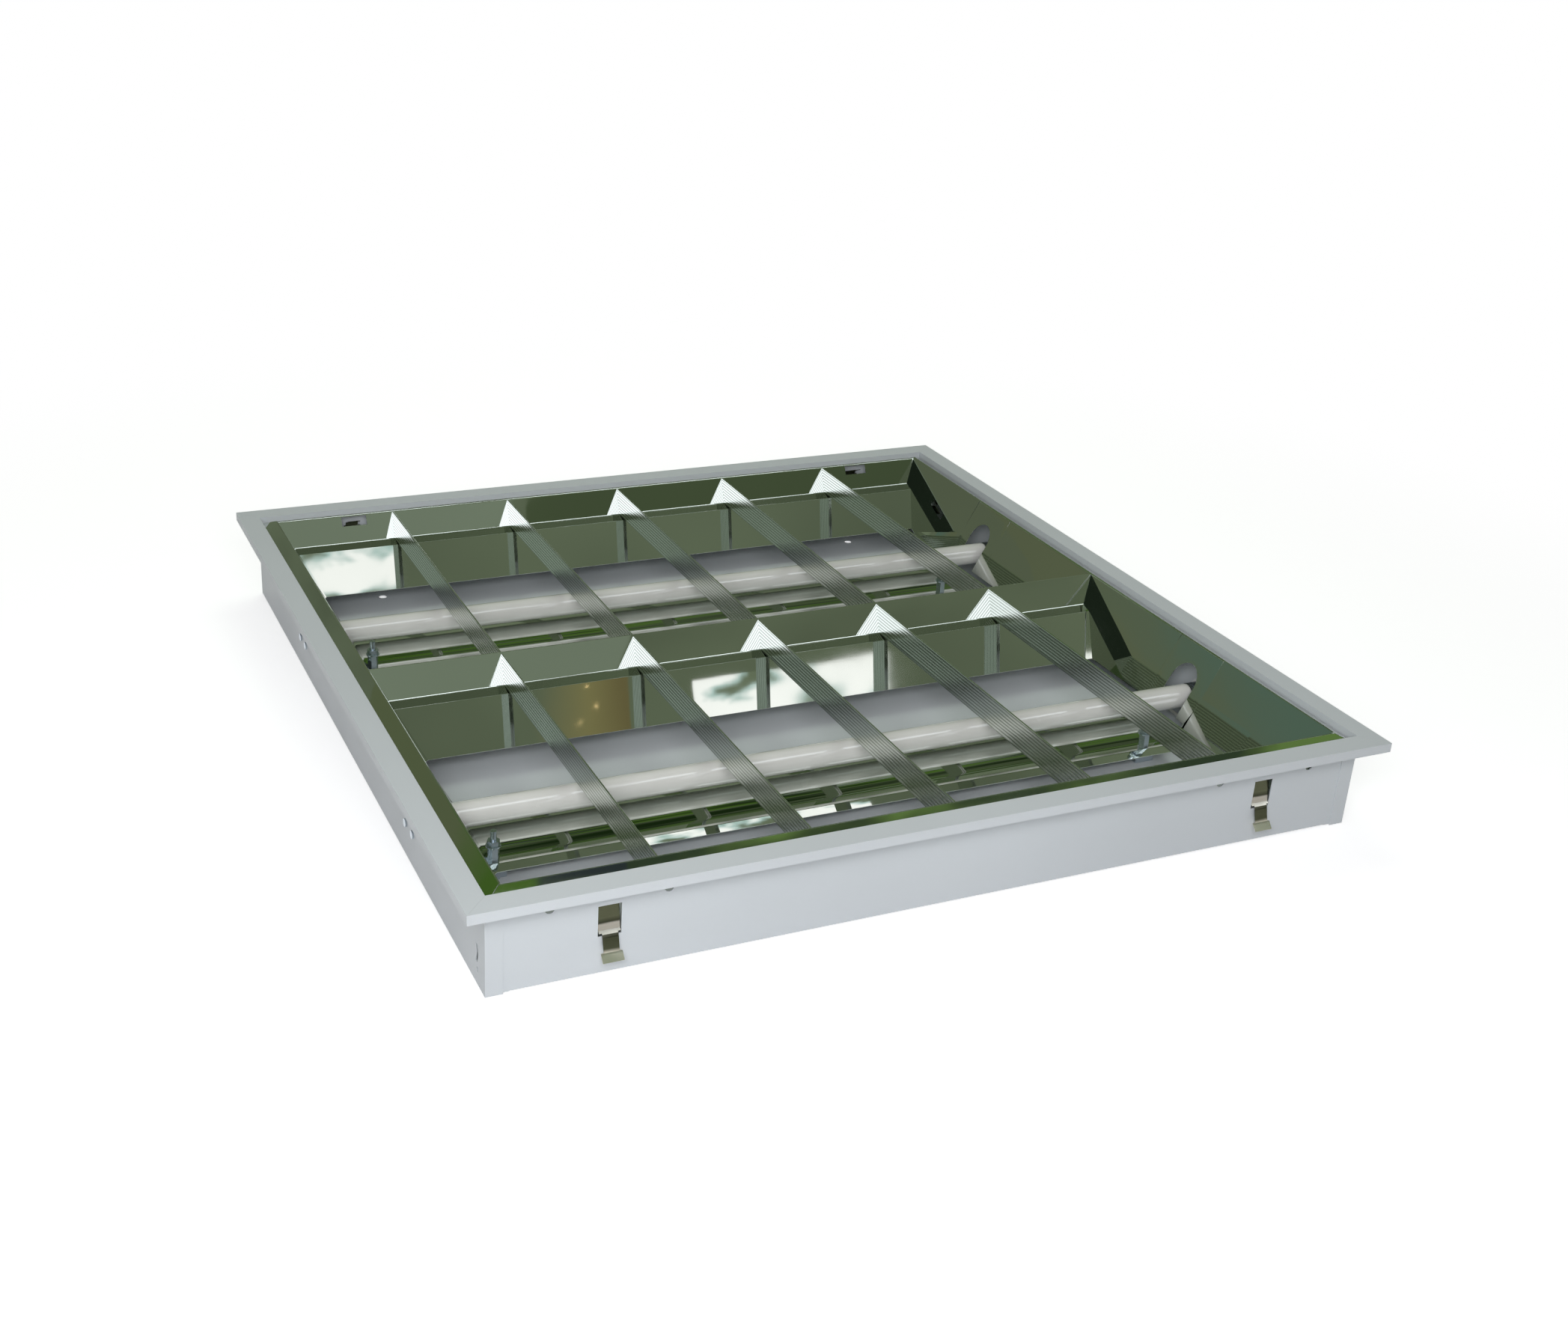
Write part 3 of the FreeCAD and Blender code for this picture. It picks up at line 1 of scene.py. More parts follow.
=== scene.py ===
# %% [markdown]
# # A recessed ceiling luminaire, lying on its back
# The imported model gives every piece its place. This lesson loads it and then
# dresses it: mirror reflectors, blades, lamp strips and lamps are drawn anew, each as a surface
# that is worked out with numpy, and every finish is made from nodes. Pieces that the imported model
# already shows well, such as the folded tray and the clips, keep its mesh and get a finish.
# %% load the fixed frame
import json
import math

import bmesh
import bpy
import numpy as np
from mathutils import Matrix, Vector


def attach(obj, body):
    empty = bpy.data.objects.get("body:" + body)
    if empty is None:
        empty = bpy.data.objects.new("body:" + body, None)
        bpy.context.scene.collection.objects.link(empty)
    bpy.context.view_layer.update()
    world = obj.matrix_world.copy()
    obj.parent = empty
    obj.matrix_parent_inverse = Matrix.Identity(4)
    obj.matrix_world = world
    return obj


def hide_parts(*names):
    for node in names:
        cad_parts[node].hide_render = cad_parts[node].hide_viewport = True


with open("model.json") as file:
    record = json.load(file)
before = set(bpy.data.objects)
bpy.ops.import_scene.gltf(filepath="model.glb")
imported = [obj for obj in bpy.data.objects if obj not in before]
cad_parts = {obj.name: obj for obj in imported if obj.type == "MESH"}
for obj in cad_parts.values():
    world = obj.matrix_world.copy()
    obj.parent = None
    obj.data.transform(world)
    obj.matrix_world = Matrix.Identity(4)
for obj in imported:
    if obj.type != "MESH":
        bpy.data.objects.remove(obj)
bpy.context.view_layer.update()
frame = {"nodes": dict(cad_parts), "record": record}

MM = 0.001
nodes = frame["nodes"]

# %% [markdown]
# ## Writing shader maths as sums
# A finish is a small network of nodes. It could be wired link by link, but a sum is easier to
# read. `Field` wraps a socket and turns +, -, * and / into Math nodes, and `Network` adds any
# other node in one call.
# %% shader helpers
EVEN = (1.0, 1.0, 1.0)    # a pattern that isn't stretched


class Field:
    """A socket that can stand in a sum; every operator adds one Math node."""

    def __init__(self, network, socket):
        self.network = network
        self.socket = socket

    def __add__(self, other):
        return self.network.math("ADD", self, other)

    def __radd__(self, other):
        return self.network.math("ADD", other, self)

    def __sub__(self, other):
        return self.network.math("SUBTRACT", self, other)

    def __rsub__(self, other):
        return self.network.math("SUBTRACT", other, self)

    def __mul__(self, other):
        return self.network.math("MULTIPLY", self, other)

    def __rmul__(self, other):
        return self.network.math("MULTIPLY", other, self)

    def __truediv__(self, other):
        return self.network.math("DIVIDE", self, other)


class Network:
    """The nodes of one material or world, round the shader that fields are fed to."""

    def __init__(self, block, shader):
        block.use_nodes = True
        self.block = block
        self.tree = block.node_tree
        self.shader = self.tree.nodes[shader]

    def add(self, kind, settings=None, inputs=None, output=0):
        """Add a node: settings first (a ramp's stops among them), then values or links."""
        node = self.tree.nodes.new(kind)
        for key, setting in (settings or {}).items():
            if key == "stops":
                ramp = node.color_ramp.elements
                while len(ramp) < len(setting):
                    ramp.new(0.5)
                for element, (place, colour) in zip(ramp, setting):
                    element.position = place
                    element.color = (*colour, 1.0)
            else:
                setattr(node, key, setting)
        for key, entry in (inputs or {}).items():
            if isinstance(entry, Field):
                self.tree.links.new(entry.socket, node.inputs[key])
            else:
                node.inputs[key].default_value = entry
        return Field(self, node.outputs[output])

    def math(self, operation, first, second):
        return self.add("ShaderNodeMath", {"operation": operation}, {0: first, 1: second})

    def set(self, socket, value):
        self.shader.inputs[socket].default_value = value

    def feed(self, socket, field):
        self.tree.links.new(field.socket, self.shader.inputs[socket])

    def show(self, shader):
        """Let another shader than the first one make the surface."""
        self.tree.links.new(shader.socket, self.tree.nodes["Material Output"].inputs["Surface"])

    def place(self, stretch=EVEN):
        """Object coordinates, stretched along each axis."""
        coordinates = self.add("ShaderNodeTexCoord", output="Object")
        return self.add("ShaderNodeMapping", None, {"Vector": coordinates, "Scale": stretch})

    def noise(self, scale, detail=2.0, stretch=EVEN):
        """Soft noise from 0 to 1; scale counts its waves in a metre."""
        settings = {"Vector": self.place(stretch), "Scale": scale, "Detail": detail}
        return self.add("ShaderNodeTexNoise", None, settings)

    def shade(self, field, stops):
        """A colour ramp driven by a field."""
        return self.add("ShaderNodeValToRGB", {"stops": stops}, {0: field})


# %% [markdown]
# ## What all finishes share
# Real paint, metal and plastic are never one even colour, and never quite smooth. `Finish` makes
# one slot's material and adds both: a colour that clouds between slightly darker and slightly
# lighter, and a bump. The bump is a change of the normal only, so it stays far finer than any
# form that a silhouette would show.
# %% finishes
finishes = {}
CLOUD_LOW, CLOUD_HIGH = 0.3, 0.7      # noise at which the darker and the lighter colour are full


def grey_shift(colour, amount):
    """The colour made lighter or darker by a share."""
    return tuple(min(1.0, part * (1.0 + amount)) for part in colour)


class Finish(Network):
    """One slot's material: constants go on the Principled shader, fields are linked to it."""

    def __init__(self, slot, colour, **constants):
        super().__init__(bpy.data.materials.new("finish_" + slot), "Principled BSDF")
        finishes[slot] = self.block
        self.set("Base Color", (*colour, 1.0))
        for socket, number in constants.items():
            self.set(socket.replace("_", " ").title(), number)

    def cloud(self, colour, scale, detail, darker, lighter):
        """Base colour that drifts with noise, from a share darker to a share lighter."""
        self.feed("Base Color", self.shade(self.noise(scale, detail), [
            (CLOUD_LOW, grey_shift(colour, -darker)), (CLOUD_HIGH, grey_shift(colour, lighter))]))

    def bump(self, height, depth):
        """Feed the Normal socket with a height field; depth is its height in millimetres."""
        inputs = {"Height": height, "Distance": depth * MM, "Strength": 1.0}
        self.feed("Normal", self.add("ShaderNodeBump", None, inputs))


# %% [markdown]
# ## The white powder coat
# The housing is steel sheet with a fine-textured powder coat. Seen close it has a slight orange
# peel; from a step away the colour clouds a little and handling leaves duller patches. A picture
# of a coat would repeat and show its seams, so noise in the piece's own coordinates makes all
# three. The coat's low specular level keeps the tray's walls from looking wet.
# %% paint
PAINT = (0.68, 0.715, 0.735)
GEAR_PAINT = (0.80, 0.80, 0.78)
PAINT_SPECULAR = 0.25


def paint_finish(slot, colour, peel):
    """Powder coat: cloudy colour, uneven gloss and an orange peel of a depth in millimetres."""
    paint = Finish(slot, colour, roughness=0.42)
    paint.set("Specular IOR Level", PAINT_SPECULAR)
    paint.cloud(colour, scale=6.0, detail=3.0, darker=0.03, lighter=0.02)
    paint.feed("Roughness", 0.34 + 0.16 * paint.noise(scale=22.0, detail=3.0))
    paint.bump(paint.noise(scale=900.0), peel)


paint_finish("white_paint", PAINT, peel=0.04)
paint_finish("gear_paint", GEAR_PAINT, peel=0.02)
print("paint:", PAINT)

# %% [markdown]
# ## Mirror sheet
# The reflectors are bright anodised aluminium. Thin sheet is never quite flat, so what it
# reflects swims. Moving the mesh's points would do that too, but it would need a dense mesh, so a
# broad, shallow bump does it. Fingerprints make the sheet a little rougher in places. The lamp
# caps, the studs and the pins get the same finish, only rougher.
# %% mirror sheet
MIRROR = (0.70, 0.725, 0.68)
SMUDGE_FROM, SMUDGE_FULL = 0.45, 0.75     # noise at which a smudge starts and is full
ROLLING = 0.004                           # height of the rolling lines, as a share of the waves


def mirror_finish(slot, colour, wave, clean, smudged):
    """Bright sheet: waves of a depth in millimetres, faint rolling lines, smudged roughness."""
    metal = Finish(slot, colour, metallic=1.0, roughness=clean)
    metal.feed("Roughness", metal.add("ShaderNodeMapRange", None, {
        0: metal.noise(scale=14.0, detail=4.0),
        1: SMUDGE_FROM, 2: SMUDGE_FULL, 3: clean, 4: smudged}))
    metal.cloud(colour, scale=5.0, detail=2.0, darker=0.06, lighter=0.04)
    broad = metal.noise(scale=11.0, detail=1.5, stretch=(1.0, 1.6, 1.6))
    rolled = metal.noise(scale=420.0, stretch=(0.02, 1.0, 1.0))
    metal.bump(broad + rolled * ROLLING, wave)


mirror_finish("mirror_sheet", MIRROR, wave=0.1, clean=0.02, smudged=0.06)
mirror_finish("cap_metal", (0.30, 0.32, 0.35), wave=0.1, clean=0.22, smudged=0.38)
mirror_finish("zinc_steel", (0.58, 0.64, 0.70), wave=0.1, clean=0.22, smudged=0.38)
mirror_finish("pin_brass", (0.78, 0.62, 0.34), wave=0.1, clean=0.15, smudged=0.30)
print("mirror:", MIRROR)

# %% [markdown]
# ## Ribbed sheet
# The cross blades are rolled with fine ribs and are less sharp. The grooves are cut into the mesh
# further down, but from a step away they are thinner than a pixel. So the finish also paints the
# shade of each valley into the colour: it counts the grooves down from the fold, in steps, by the
# height in the piece.
# %% ribbed sheet
TOP = 61.6            # room side of the flange above the back, in millimetres like all sizes
BLADE_DROP = 1.65     # fold of a cross blade below the flange's room side
BLADE_HEIGHT = 18.5
GROOVES = 8
GROOVE_STEP = 2.15
GROOVE_WIDTH = 0.80
FIRST_GROOVE = 0.55   # place of the first groove, in steps below the fold
BLADE_COLOUR = (0.70, 0.73, 0.69)
# painted shade of the groove valleys
GROOVE_SHADE = (0.34, 0.37, 0.33)


def height_field(metal):
    """Height above the back in millimetres, from Object coordinates."""
    return metal.add("ShaderNodeSeparateXYZ", None, {0: metal.place()}, output="Z") / MM


def ribbed_finish(slot, colour, groove_shade):
    """Rolled sheet: the colour follows the distance from the nearest groove, as painted shade.

    The height below the fold is counted in groove steps; PINGPONG folds it into a distance from
    0 in a valley to 0.5 between two valleys.
    """
    metal = Finish(slot, colour, metallic=1.0, roughness=0.16)
    steps = (TOP - BLADE_DROP - height_field(metal)) / GROOVE_STEP - FIRST_GROOVE
    from_groove = metal.math("PINGPONG", steps, 0.5)
    flat_share = from_groove * 1.8 + metal.noise(scale=9.0, detail=3.0) * 0.1
    # painted shade: the colour darkens towards each valley
    metal.feed("Base Color", metal.shade(flat_share, [(0.20, groove_shade), (0.60, colour)]))
    metal.feed("Roughness", 0.17 + 0.10 * metal.noise(scale=25.0, detail=3.0))
    metal.bump(metal.noise(scale=420.0, stretch=(1.0, 0.02, 1.0)), 0.001)


ribbed_finish("blade_sheet", BLADE_COLOUR, GROOVE_SHADE)
print("ribs:", GROOVES, "grooves,", GROOVE_STEP, "mm apart")

# %% [markdown]
# ## Nickel-plated springs
# The clips in the walls are springy strip. Their bends catch the light, while the leaf and the
# neck between them mirror something dark. A clip is too small in the picture to earn its own
# reflections, so a ramp over the height paints them into the colour: bright and dark bands of
# painted reflection where the bends are.
# %% clips
CLIP_FOOT = 10.6      # height of a spring clip's foot above the back
CLIP_SPAN = 34.0
NICKEL = (0.62, 0.58, 0.50)
# colour of the painted dark reflections on the clip
DARK_REFLECTION = (0.088, 0.092, 0.056)


def clip_finish(slot, colour):
    """Spring strip with painted reflections: a ramp over the share of the clip's height, blurred by
    noise.
    """
    metal = Finish(slot, colour, metallic=1.0, roughness=0.2)
    blur = metal.noise(scale=60.0) * 0.04 - 0.02
    share = (height_field(metal) - CLIP_FOOT) / CLIP_SPAN + blur
    bright, dim_reflection, black = (grey_shift(colour, 0.5), grey_shift(colour, -0.45),
                           grey_shift(DARK_REFLECTION, -0.6))
    # painted reflections: a bright band low down, then dark and dim bands where the strip mirrors
    # dark surroundings
    metal.feed("Base Color", metal.shade(share, [
        (0.10, bright), (0.19, DARK_REFLECTION), (0.36, DARK_REFLECTION), (0.40, dim_reflection), (0.57, dim_reflection),
        (0.60, black), (0.68, DARK_REFLECTION), (0.92, DARK_REFLECTION)]))
    metal.feed("Roughness", 0.14 + 0.16 * metal.noise(scale=80.0, detail=3.0))
    metal.bump(metal.noise(scale=70.0), 0.1)


clip_finish("clip_nickel", NICKEL)
print("clip bands span", CLIP_SPAN, "mm")

# %% [markdown]
# ## Glass and plastics
# The lamps are glass tubes with an off-white powder inside, so unlit they look like glossy
# porcelain. Clear glass over a white tube would be truer and much slower, and looks the same
# here, so a clear coat on a pale surface stands for it. The holders are white moulded plastic,
# the grommet is black rubber.
# %% glass and plastics


def plastic_finish(slot, colour, roughness, grain, coat=0.0):
    """Moulded or glazed surface: faint mottling, uneven gloss, a grain's depth in millimetres."""
    plastic = Finish(slot, colour, roughness=roughness, coat_weight=coat, coat_roughness=0.03)
    plastic.cloud(colour, scale=40.0, detail=3.0, darker=0.04, lighter=0.03)
    uneven = plastic.noise(scale=60.0) * roughness * 0.4
    plastic.feed("Roughness", roughness * 0.8 + uneven)
    plastic.bump(plastic.noise(scale=1500.0), grain)


plastic_finish("lamp_glass", (0.80, 0.79, 0.75), 0.25, grain=0.002, coat=1.0)
plastic_finish("holder_plastic", (0.80, 0.80, 0.78), 0.35, grain=0.02)
plastic_finish("rotor_plastic", (0.75, 0.75, 0.73), 0.45, grain=0.02)
plastic_finish("terminal_plastic", (0.78, 0.78, 0.72), 0.35, grain=0.02)
plastic_finish("board_green", (0.04, 0.16, 0.07), 0.30, grain=0.03)
plastic_finish("grommet_rubber", (0.02, 0.02, 0.02), 0.60, grain=0.05)
plastic_finish("wire_insulation", (0.75, 0.75, 0.68), 0.35, grain=0.01)
print("finishes:", len(finishes))

# %% [markdown]
# ## Every carried-over node gets its finish
# The record names a slot for each node, and the finishes here have the slots' names. The link is
# set to OBJECT, so that the node's own mesh stays as it was packed.
# %% dress the nodes
for part in frame["record"]["subparts"]:
    carried = nodes[part["node"]]
    if not carried.data.materials:
        carried.data.materials.append(None)
    for slot_number in range(len(carried.material_slots)):
        carried.material_slots[slot_number].link = "OBJECT"
        carried.material_slots[slot_number].material = finishes[part["material_slot"]]

# %% [markdown]
# ## Surfaces from arrays
# A sheet-metal piece is a profile carried along a straight line, and only its ends need care.
# It could be bent from a plane with modifiers, but arrays give each fold its true place.
# `surface` turns any grid of points into a mesh.
# %% mesh helpers


def new_piece(name, points, faces, slot, body):
    """One mesh object from arrays: points in millimetres, faces as rows of four indices."""
    mesh = bpy.data.meshes.new(name)
    mesh.from_pydata((np.asarray(points) * MM).tolist(), [], np.asarray(faces).tolist())
    mesh.polygons.foreach_set("use_smooth", np.ones(len(mesh.polygons), dtype=bool))
    mesh.materials.append(finishes[slot])
    mesh.validate()
    piece = bpy.data.objects.new(name, mesh)
    bpy.context.scene.collection.objects.link(piece)
    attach(piece, body)
    return piece


def grid_faces(rows, columns, wrap_columns=False, keep=None):
    """Faces of a grid: cell (i, j) joins points (i, j), (i+1, j), (i+1, j+1) and (i, j+1)."""
    index = np.arange(rows * columns).reshape(rows, columns)
    if wrap_columns:
        index = np.hstack([index, index[:, :1]])
    cells = np.stack([index[:-1, :-1], index[1:, :-1], index[1:, 1:], index[:-1, 1:]], axis=-1)
    if keep is None:
        return cells.reshape(-1, 4)
    return cells[keep]


def surface(name, grid, slot, body, keep=None, flip=False):
    """A piece over a grid of points shaped (rows, columns, 3)."""
    rows, columns = grid.shape[:2]
    faces = grid_faces(rows, columns, keep=keep)
    if flip:
        faces = faces[:, ::-1]
    return new_piece(name, grid.reshape(-1, 3), faces, slot, body)


def extruded(name, profile, x, slot, body, **options):
    """A profile of (Y, drop below the flange) carried through the X places of each row."""
    y = np.broadcast_to(profile[:, :1], x.shape)
    z = np.broadcast_to(TOP - profile[:, 1:], x.shape)
    return surface(name, np.stack([x, y, z], axis=-1), slot, body, **options)


# %% [markdown]
# ## Folds and sheet thickness
# A fold always has a radius, and that radius makes the bright line along it, so `rounded` puts
# small arcs in place of a profile's corners. The Solidify modifier gives the sheet its thickness
# on the hidden side, where the drawn surface doesn't move.
# %% sheet helpers


def rounded(corners, radii, steps=5):
    """A polyline with an arc at each inner corner.

    An arc of radius r at a corner of turning angle a starts r * tan(a / 2) before the corner and
    ends as far after it; its points are centre + r * (cos, sin) over the angle a.
    """
    corners = [np.array(corner, dtype=float) for corner in corners]
    path = [corners[0]]
    for before, corner, after, radius in zip(corners, corners[1:], corners[2:], radii):
        if radius == 0:
            path.append(corner)
            continue
        into = (corner - before) / np.linalg.norm(corner - before)
        out = (after - corner) / np.linalg.norm(after - corner)
        turn = math.atan2(into[0] * out[1] - into[1] * out[0], into @ out)
        reach = radius * math.tan(abs(turn) / 2)
        side = math.copysign(1.0, turn)
        centre = corner - into * reach + side * radius * np.array([-into[1], into[0]])
        spoke = corner - into * reach - centre
        for angle in np.linspace(0.0, turn, steps):
            cosine, sine = math.cos(angle), math.sin(angle)
            path.append(centre + np.array([spoke[0] * cosine - spoke[1] * sine,
                                           spoke[0] * sine + spoke[1] * cosine]))
    path.append(corners[-1])
    return np.array(path)


def thicken(piece, thickness, edge=0.1):
    """Give a sheet its thickness behind the drawn surface, break its edges and keep flats flat.

    The weighted normals let each large face decide how its corners are shaded, so a flat mirror
    reflects like a flat mirror right up to its fold.
    """
    solid = piece.modifiers.new("sheet", "SOLIDIFY")
    solid.thickness = thickness * MM
    solid.offset = -1.0
    solid.use_even_offset = True
    broken = piece.modifiers.new("edges", "BEVEL")
    broken.width = edge * MM
    broken.segments = 2
    broken.limit_method = "ANGLE"
    broken.angle_limit = math.radians(40.0)
    flats = piece.modifiers.new("flats", "WEIGHTED_NORMAL")
    flats.weight = 100
    return piece


print("a right-angled fold has", len(rounded([(0, 0), (5, 0), (5, 5)], [1.0])), "points")

# %% [markdown]
# ## The section of the louvre's long mirrors
# Each side mirror is one strip: a lip over the housing's edge, a steep upper facet, a narrow
# ledge, a wide lower facet and a small hem along its foot. Two straight lines would do for the
# facets, but a mirror shows every fold, so the section also has the folds' radii and the hem.
# %% section of the mirrors
LIP = 272.3           # crease between lip and facets, from the middle of the light
LIP_OUTER = 281.5
LIP_DROP = 5.0
LIP_FOLD = 1.0        # radius of the fold between lip and facets
CREASE_DROP = 0.6
FACET = (10.3, 20.3)  # end of the upper facet: run from the crease, drop from the flange
LEDGE = (19.3, 21.5)
SKIRT = (48.6, 45.3)
FOLDS = [1.6, 1.2]    # radii of the folds at both sides of the ledge
HEM = 0.5             # radius of the rolled foot
LATCH = (2.2, 8.6)    # drops at which a latch window begins and ends


def facet_run(drop):
    """Run of the upper facet at a drop: a straight line from the crease to its foot."""
    return (drop - CREASE_DROP) / (FACET[1] - CREASE_DROP) * FACET[0]


def hem_path(steps=5):
    """Points that roll the skirt's foot back under itself: a half circle of the hem's radius."""
    along = np.array([SKIRT[0] - LEDGE[0], SKIRT[1] - LEDGE[1]])
    along = along / np.linalg.norm(along)
    back = np.array([-along[1], along[0]])
    angle = np.linspace(0.0, math.pi, steps)[1:, None]
    foot = np.array(SKIRT) - along * HEM
    return foot + back * HEM * (1 - np.cos(angle)) + along * HEM * np.sin(angle)


def side_profile():
    """Rows of the side mirror as (run from the crease, drop), with rows on the latch's edges."""
    latch_rows = [(facet_run(drop), drop) for drop in LATCH]
    corners = [(LIP - LIP_OUTER, LIP_DROP), (0.0, CREASE_DROP), *latch_rows, FACET, LEDGE, SKIRT]
    upper = rounded(corners, [LIP_FOLD, 0.0, 0.0, *FOLDS])
    return np.vstack([upper[:-1], hem_path()])


print("section of a side mirror:", len(side_profile()), "rows")

# %% [markdown]
# ## The louvre's long mirrors
# The section is carried along X. Its ends follow the end mirrors' slope, so the length is a
# function of the height. The upper facet has two latch windows; they could be cut with a
# boolean, but leaving out one grid cell each keeps the sheet clean.
# %% side mirrors
END_SLOPE = 0.54      # run of the end mirrors' slope for each millimetre of drop
JOINT = 0.06          # gap between two mirrors that meet
CLIP_X = 214.5        # latches and clips are this far from the middle
LATCH_HALF = 9.5
PLAIN_COLUMNS = (-110.0, 0.0, 110.0)
MIRROR_SHEET = 0.45
SIDES = ((-1, "near"), (1, "far"))
ENDS = ((-1, "left"), (1, "right"))


def end_reach(drop):
    """Half length of a long mirror at a drop, where it meets the sloped end mirror."""
    return LIP - JOINT - END_SLOPE * np.maximum(drop - CREASE_DROP, 0.0)


def side_mirror(name, side):
    """A long mirror: its profile carried along X between the end mirrors."""
    run, drop = side_profile().T
    reach = np.where(run < 0, LIP - JOINT - run, end_reach(drop))
    inner = np.array([-CLIP_X - LATCH_HALF, -CLIP_X + LATCH_HALF, *PLAIN_COLUMNS,
                      CLIP_X - LATCH_HALF, CLIP_X + LATCH_HALF])
    x = np.column_stack([-reach, np.tile(inner, (len(run), 1)), reach])
    first_row, last_row = [np.argmin(np.where(run < 0, np.inf, np.abs(drop - edge)))
                           for edge in LATCH]
    keep = np.ones((len(run) - 1, x.shape[1] - 1), dtype=bool)
    keep[first_row:last_row, [1, -2]] = False
    piece = extruded(name, np.column_stack([side * (LIP - run), drop]), x, "mirror_sheet",
                     "louvre", keep=keep, flip=side < 0)
    return thicken(piece, MIRROR_SHEET)


for side, side_name in SIDES:
    mirror = side_mirror("side_mirror_" + side_name, side)
    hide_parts("side_reflector_" + side_name)
print("side mirrors:", len(mirror.data.polygons), "faces each")

# %% [markdown]
# ## The ridge between the lamps
# The middle mirror is two such strips joined at a sharp fold. It could be two pieces, but one
# sheet has no gap at the top, so the half section is mirrored and joined there.
# %% ridge mirror
RIDGE_DROP = 0.9
RIDGE_HALF = 0.25     # the fold adds this to the facets' run at the top


def ridge_mirror():
    """The two-sided middle mirror, from one hem over the fold to the other hem."""
    top = (facet_run(RIDGE_DROP) + RIDGE_HALF, RIDGE_DROP)
    half = np.vstack([rounded([top, FACET, LEDGE, SKIRT], FOLDS)[:-1], hem_path()])
    profile = np.vstack([half[::-1] * (-1.0, 1.0), half])
    x = end_reach(profile[:, 1])[:, None] * np.linspace(-1.0, 1.0, 9)
    piece = extruded("ridge_mirror", profile, x, "mirror_sheet", "louvre", flip=True)
    return thicken(piece, MIRROR_SHEET)


ridge = ridge_mirror()
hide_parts("ridge_reflector")
print("ridge:", len(ridge.data.polygons), "faces")

# %% [markdown]
# ## The end mirrors and their arches
# An end mirror is one sloped sheet with the same lip, and two arches that let the lamps through.
# A boolean would leave long thin faces that spoil a reflection. So round each arch the grid runs
# from the arch's edge out to a rectangle, point by point: the curve stays smooth and the sheet
# stays flat.
# %% end mirrors
LAMP_Y = 137.5        # each lamp's line, from the middle of the light
ARCH_HALF = 12.4
ARCH_TOP = 12.7       # drop of the arch's crown
ARCH_FRAME = 24.0     # half width of the rectangle round an arch
CORNER = 0.625        # cosine of the angle at which the rectangle has its corner
END_LIP_FOLD = 0.8
FOLD_GUIDE = 3.0      # a point this far down the slope gives the fold its direction


def slope_point(y, drop):
    """Points of the sloped sheet: X falls by the slope for each millimetre of drop."""
    return np.stack([LIP - END_SLOPE * (drop - CREASE_DROP), y, TOP - drop], axis=-1)


def arch_grid(middle, rings=4):
    """Points from the arch's edge to the rectangle round it, as (around, outwards).

    The edge is a half circle (cos, sin) on two uprights. For the same angle the rectangle's
    point lies at its top while the cosine is under CORNER, and then goes down its side.
    """
    angle = np.linspace(math.pi, 0.0, 25)
    cosine = np.cos(angle)
    spring = ARCH_TOP + ARCH_HALF
    down_side = np.clip((np.abs(cosine) - CORNER) / (1.0 - CORNER), 0.0, 1.0)
    inner_y = ARCH_HALF * np.concatenate([[-1.0], cosine, [1.0]])
    outer_y = ARCH_FRAME * np.concatenate([[-1.0], np.clip(cosine / CORNER, -1.0, 1.0), [1.0]])
    inner_drop = spring - ARCH_HALF * np.sin(angle)
    outer_drop = CREASE_DROP + (spring - CREASE_DROP) * down_side
    inner_drop, outer_drop = [np.concatenate([[SKIRT[1]], drop, [SKIRT[1]]])
                              for drop in (inner_drop, outer_drop)]
    share = np.linspace(0.0, 1.0, rings)[None, :]
    y = middle + inner_y[:, None] * (1 - share) + outer_y[:, None] * share
    drop = inner_drop[:, None] * (1 - share) + outer_drop[:, None] * share
    return slope_point(y, drop)


def lip_grid():
    """The lip with its rounded fold, as wide as it is far out, so that its corners are mitred."""
    crease = (LIP, CREASE_DROP)
    below = (LIP - END_SLOPE * FOLD_GUIDE, CREASE_DROP + FOLD_GUIDE)
    x, drop = rounded([(LIP_OUTER, LIP_DROP), crease, below], [END_LIP_FOLD])[:-1].T
    y = np.maximum(x, LIP)[:, None] * np.linspace(-1.0, 1.0, 2)
    return np.stack([np.broadcast_to(x[:, None], y.shape), y,
                     np.broadcast_to(TOP - drop[:, None], y.shape)], axis=-1)


def mend(piece, front=None):
    """Weld doubled points and turn the faces outwards, or an open sheet's towards its front."""
    shell = bmesh.new()
    shell.from_mesh(piece.data)
    bmesh.ops.remove_doubles(shell, verts=shell.verts, dist=0.01 * MM)
    bmesh.ops.recalc_face_normals(shell, faces=shell.faces)
    shell.normal_update()
    if front and sum(face.normal.dot(front) * face.calc_area() for face in shell.faces) < 0:
        bmesh.ops.reverse_faces(shell, faces=shell.faces)
    shell.to_mesh(piece.data)
    shell.free()


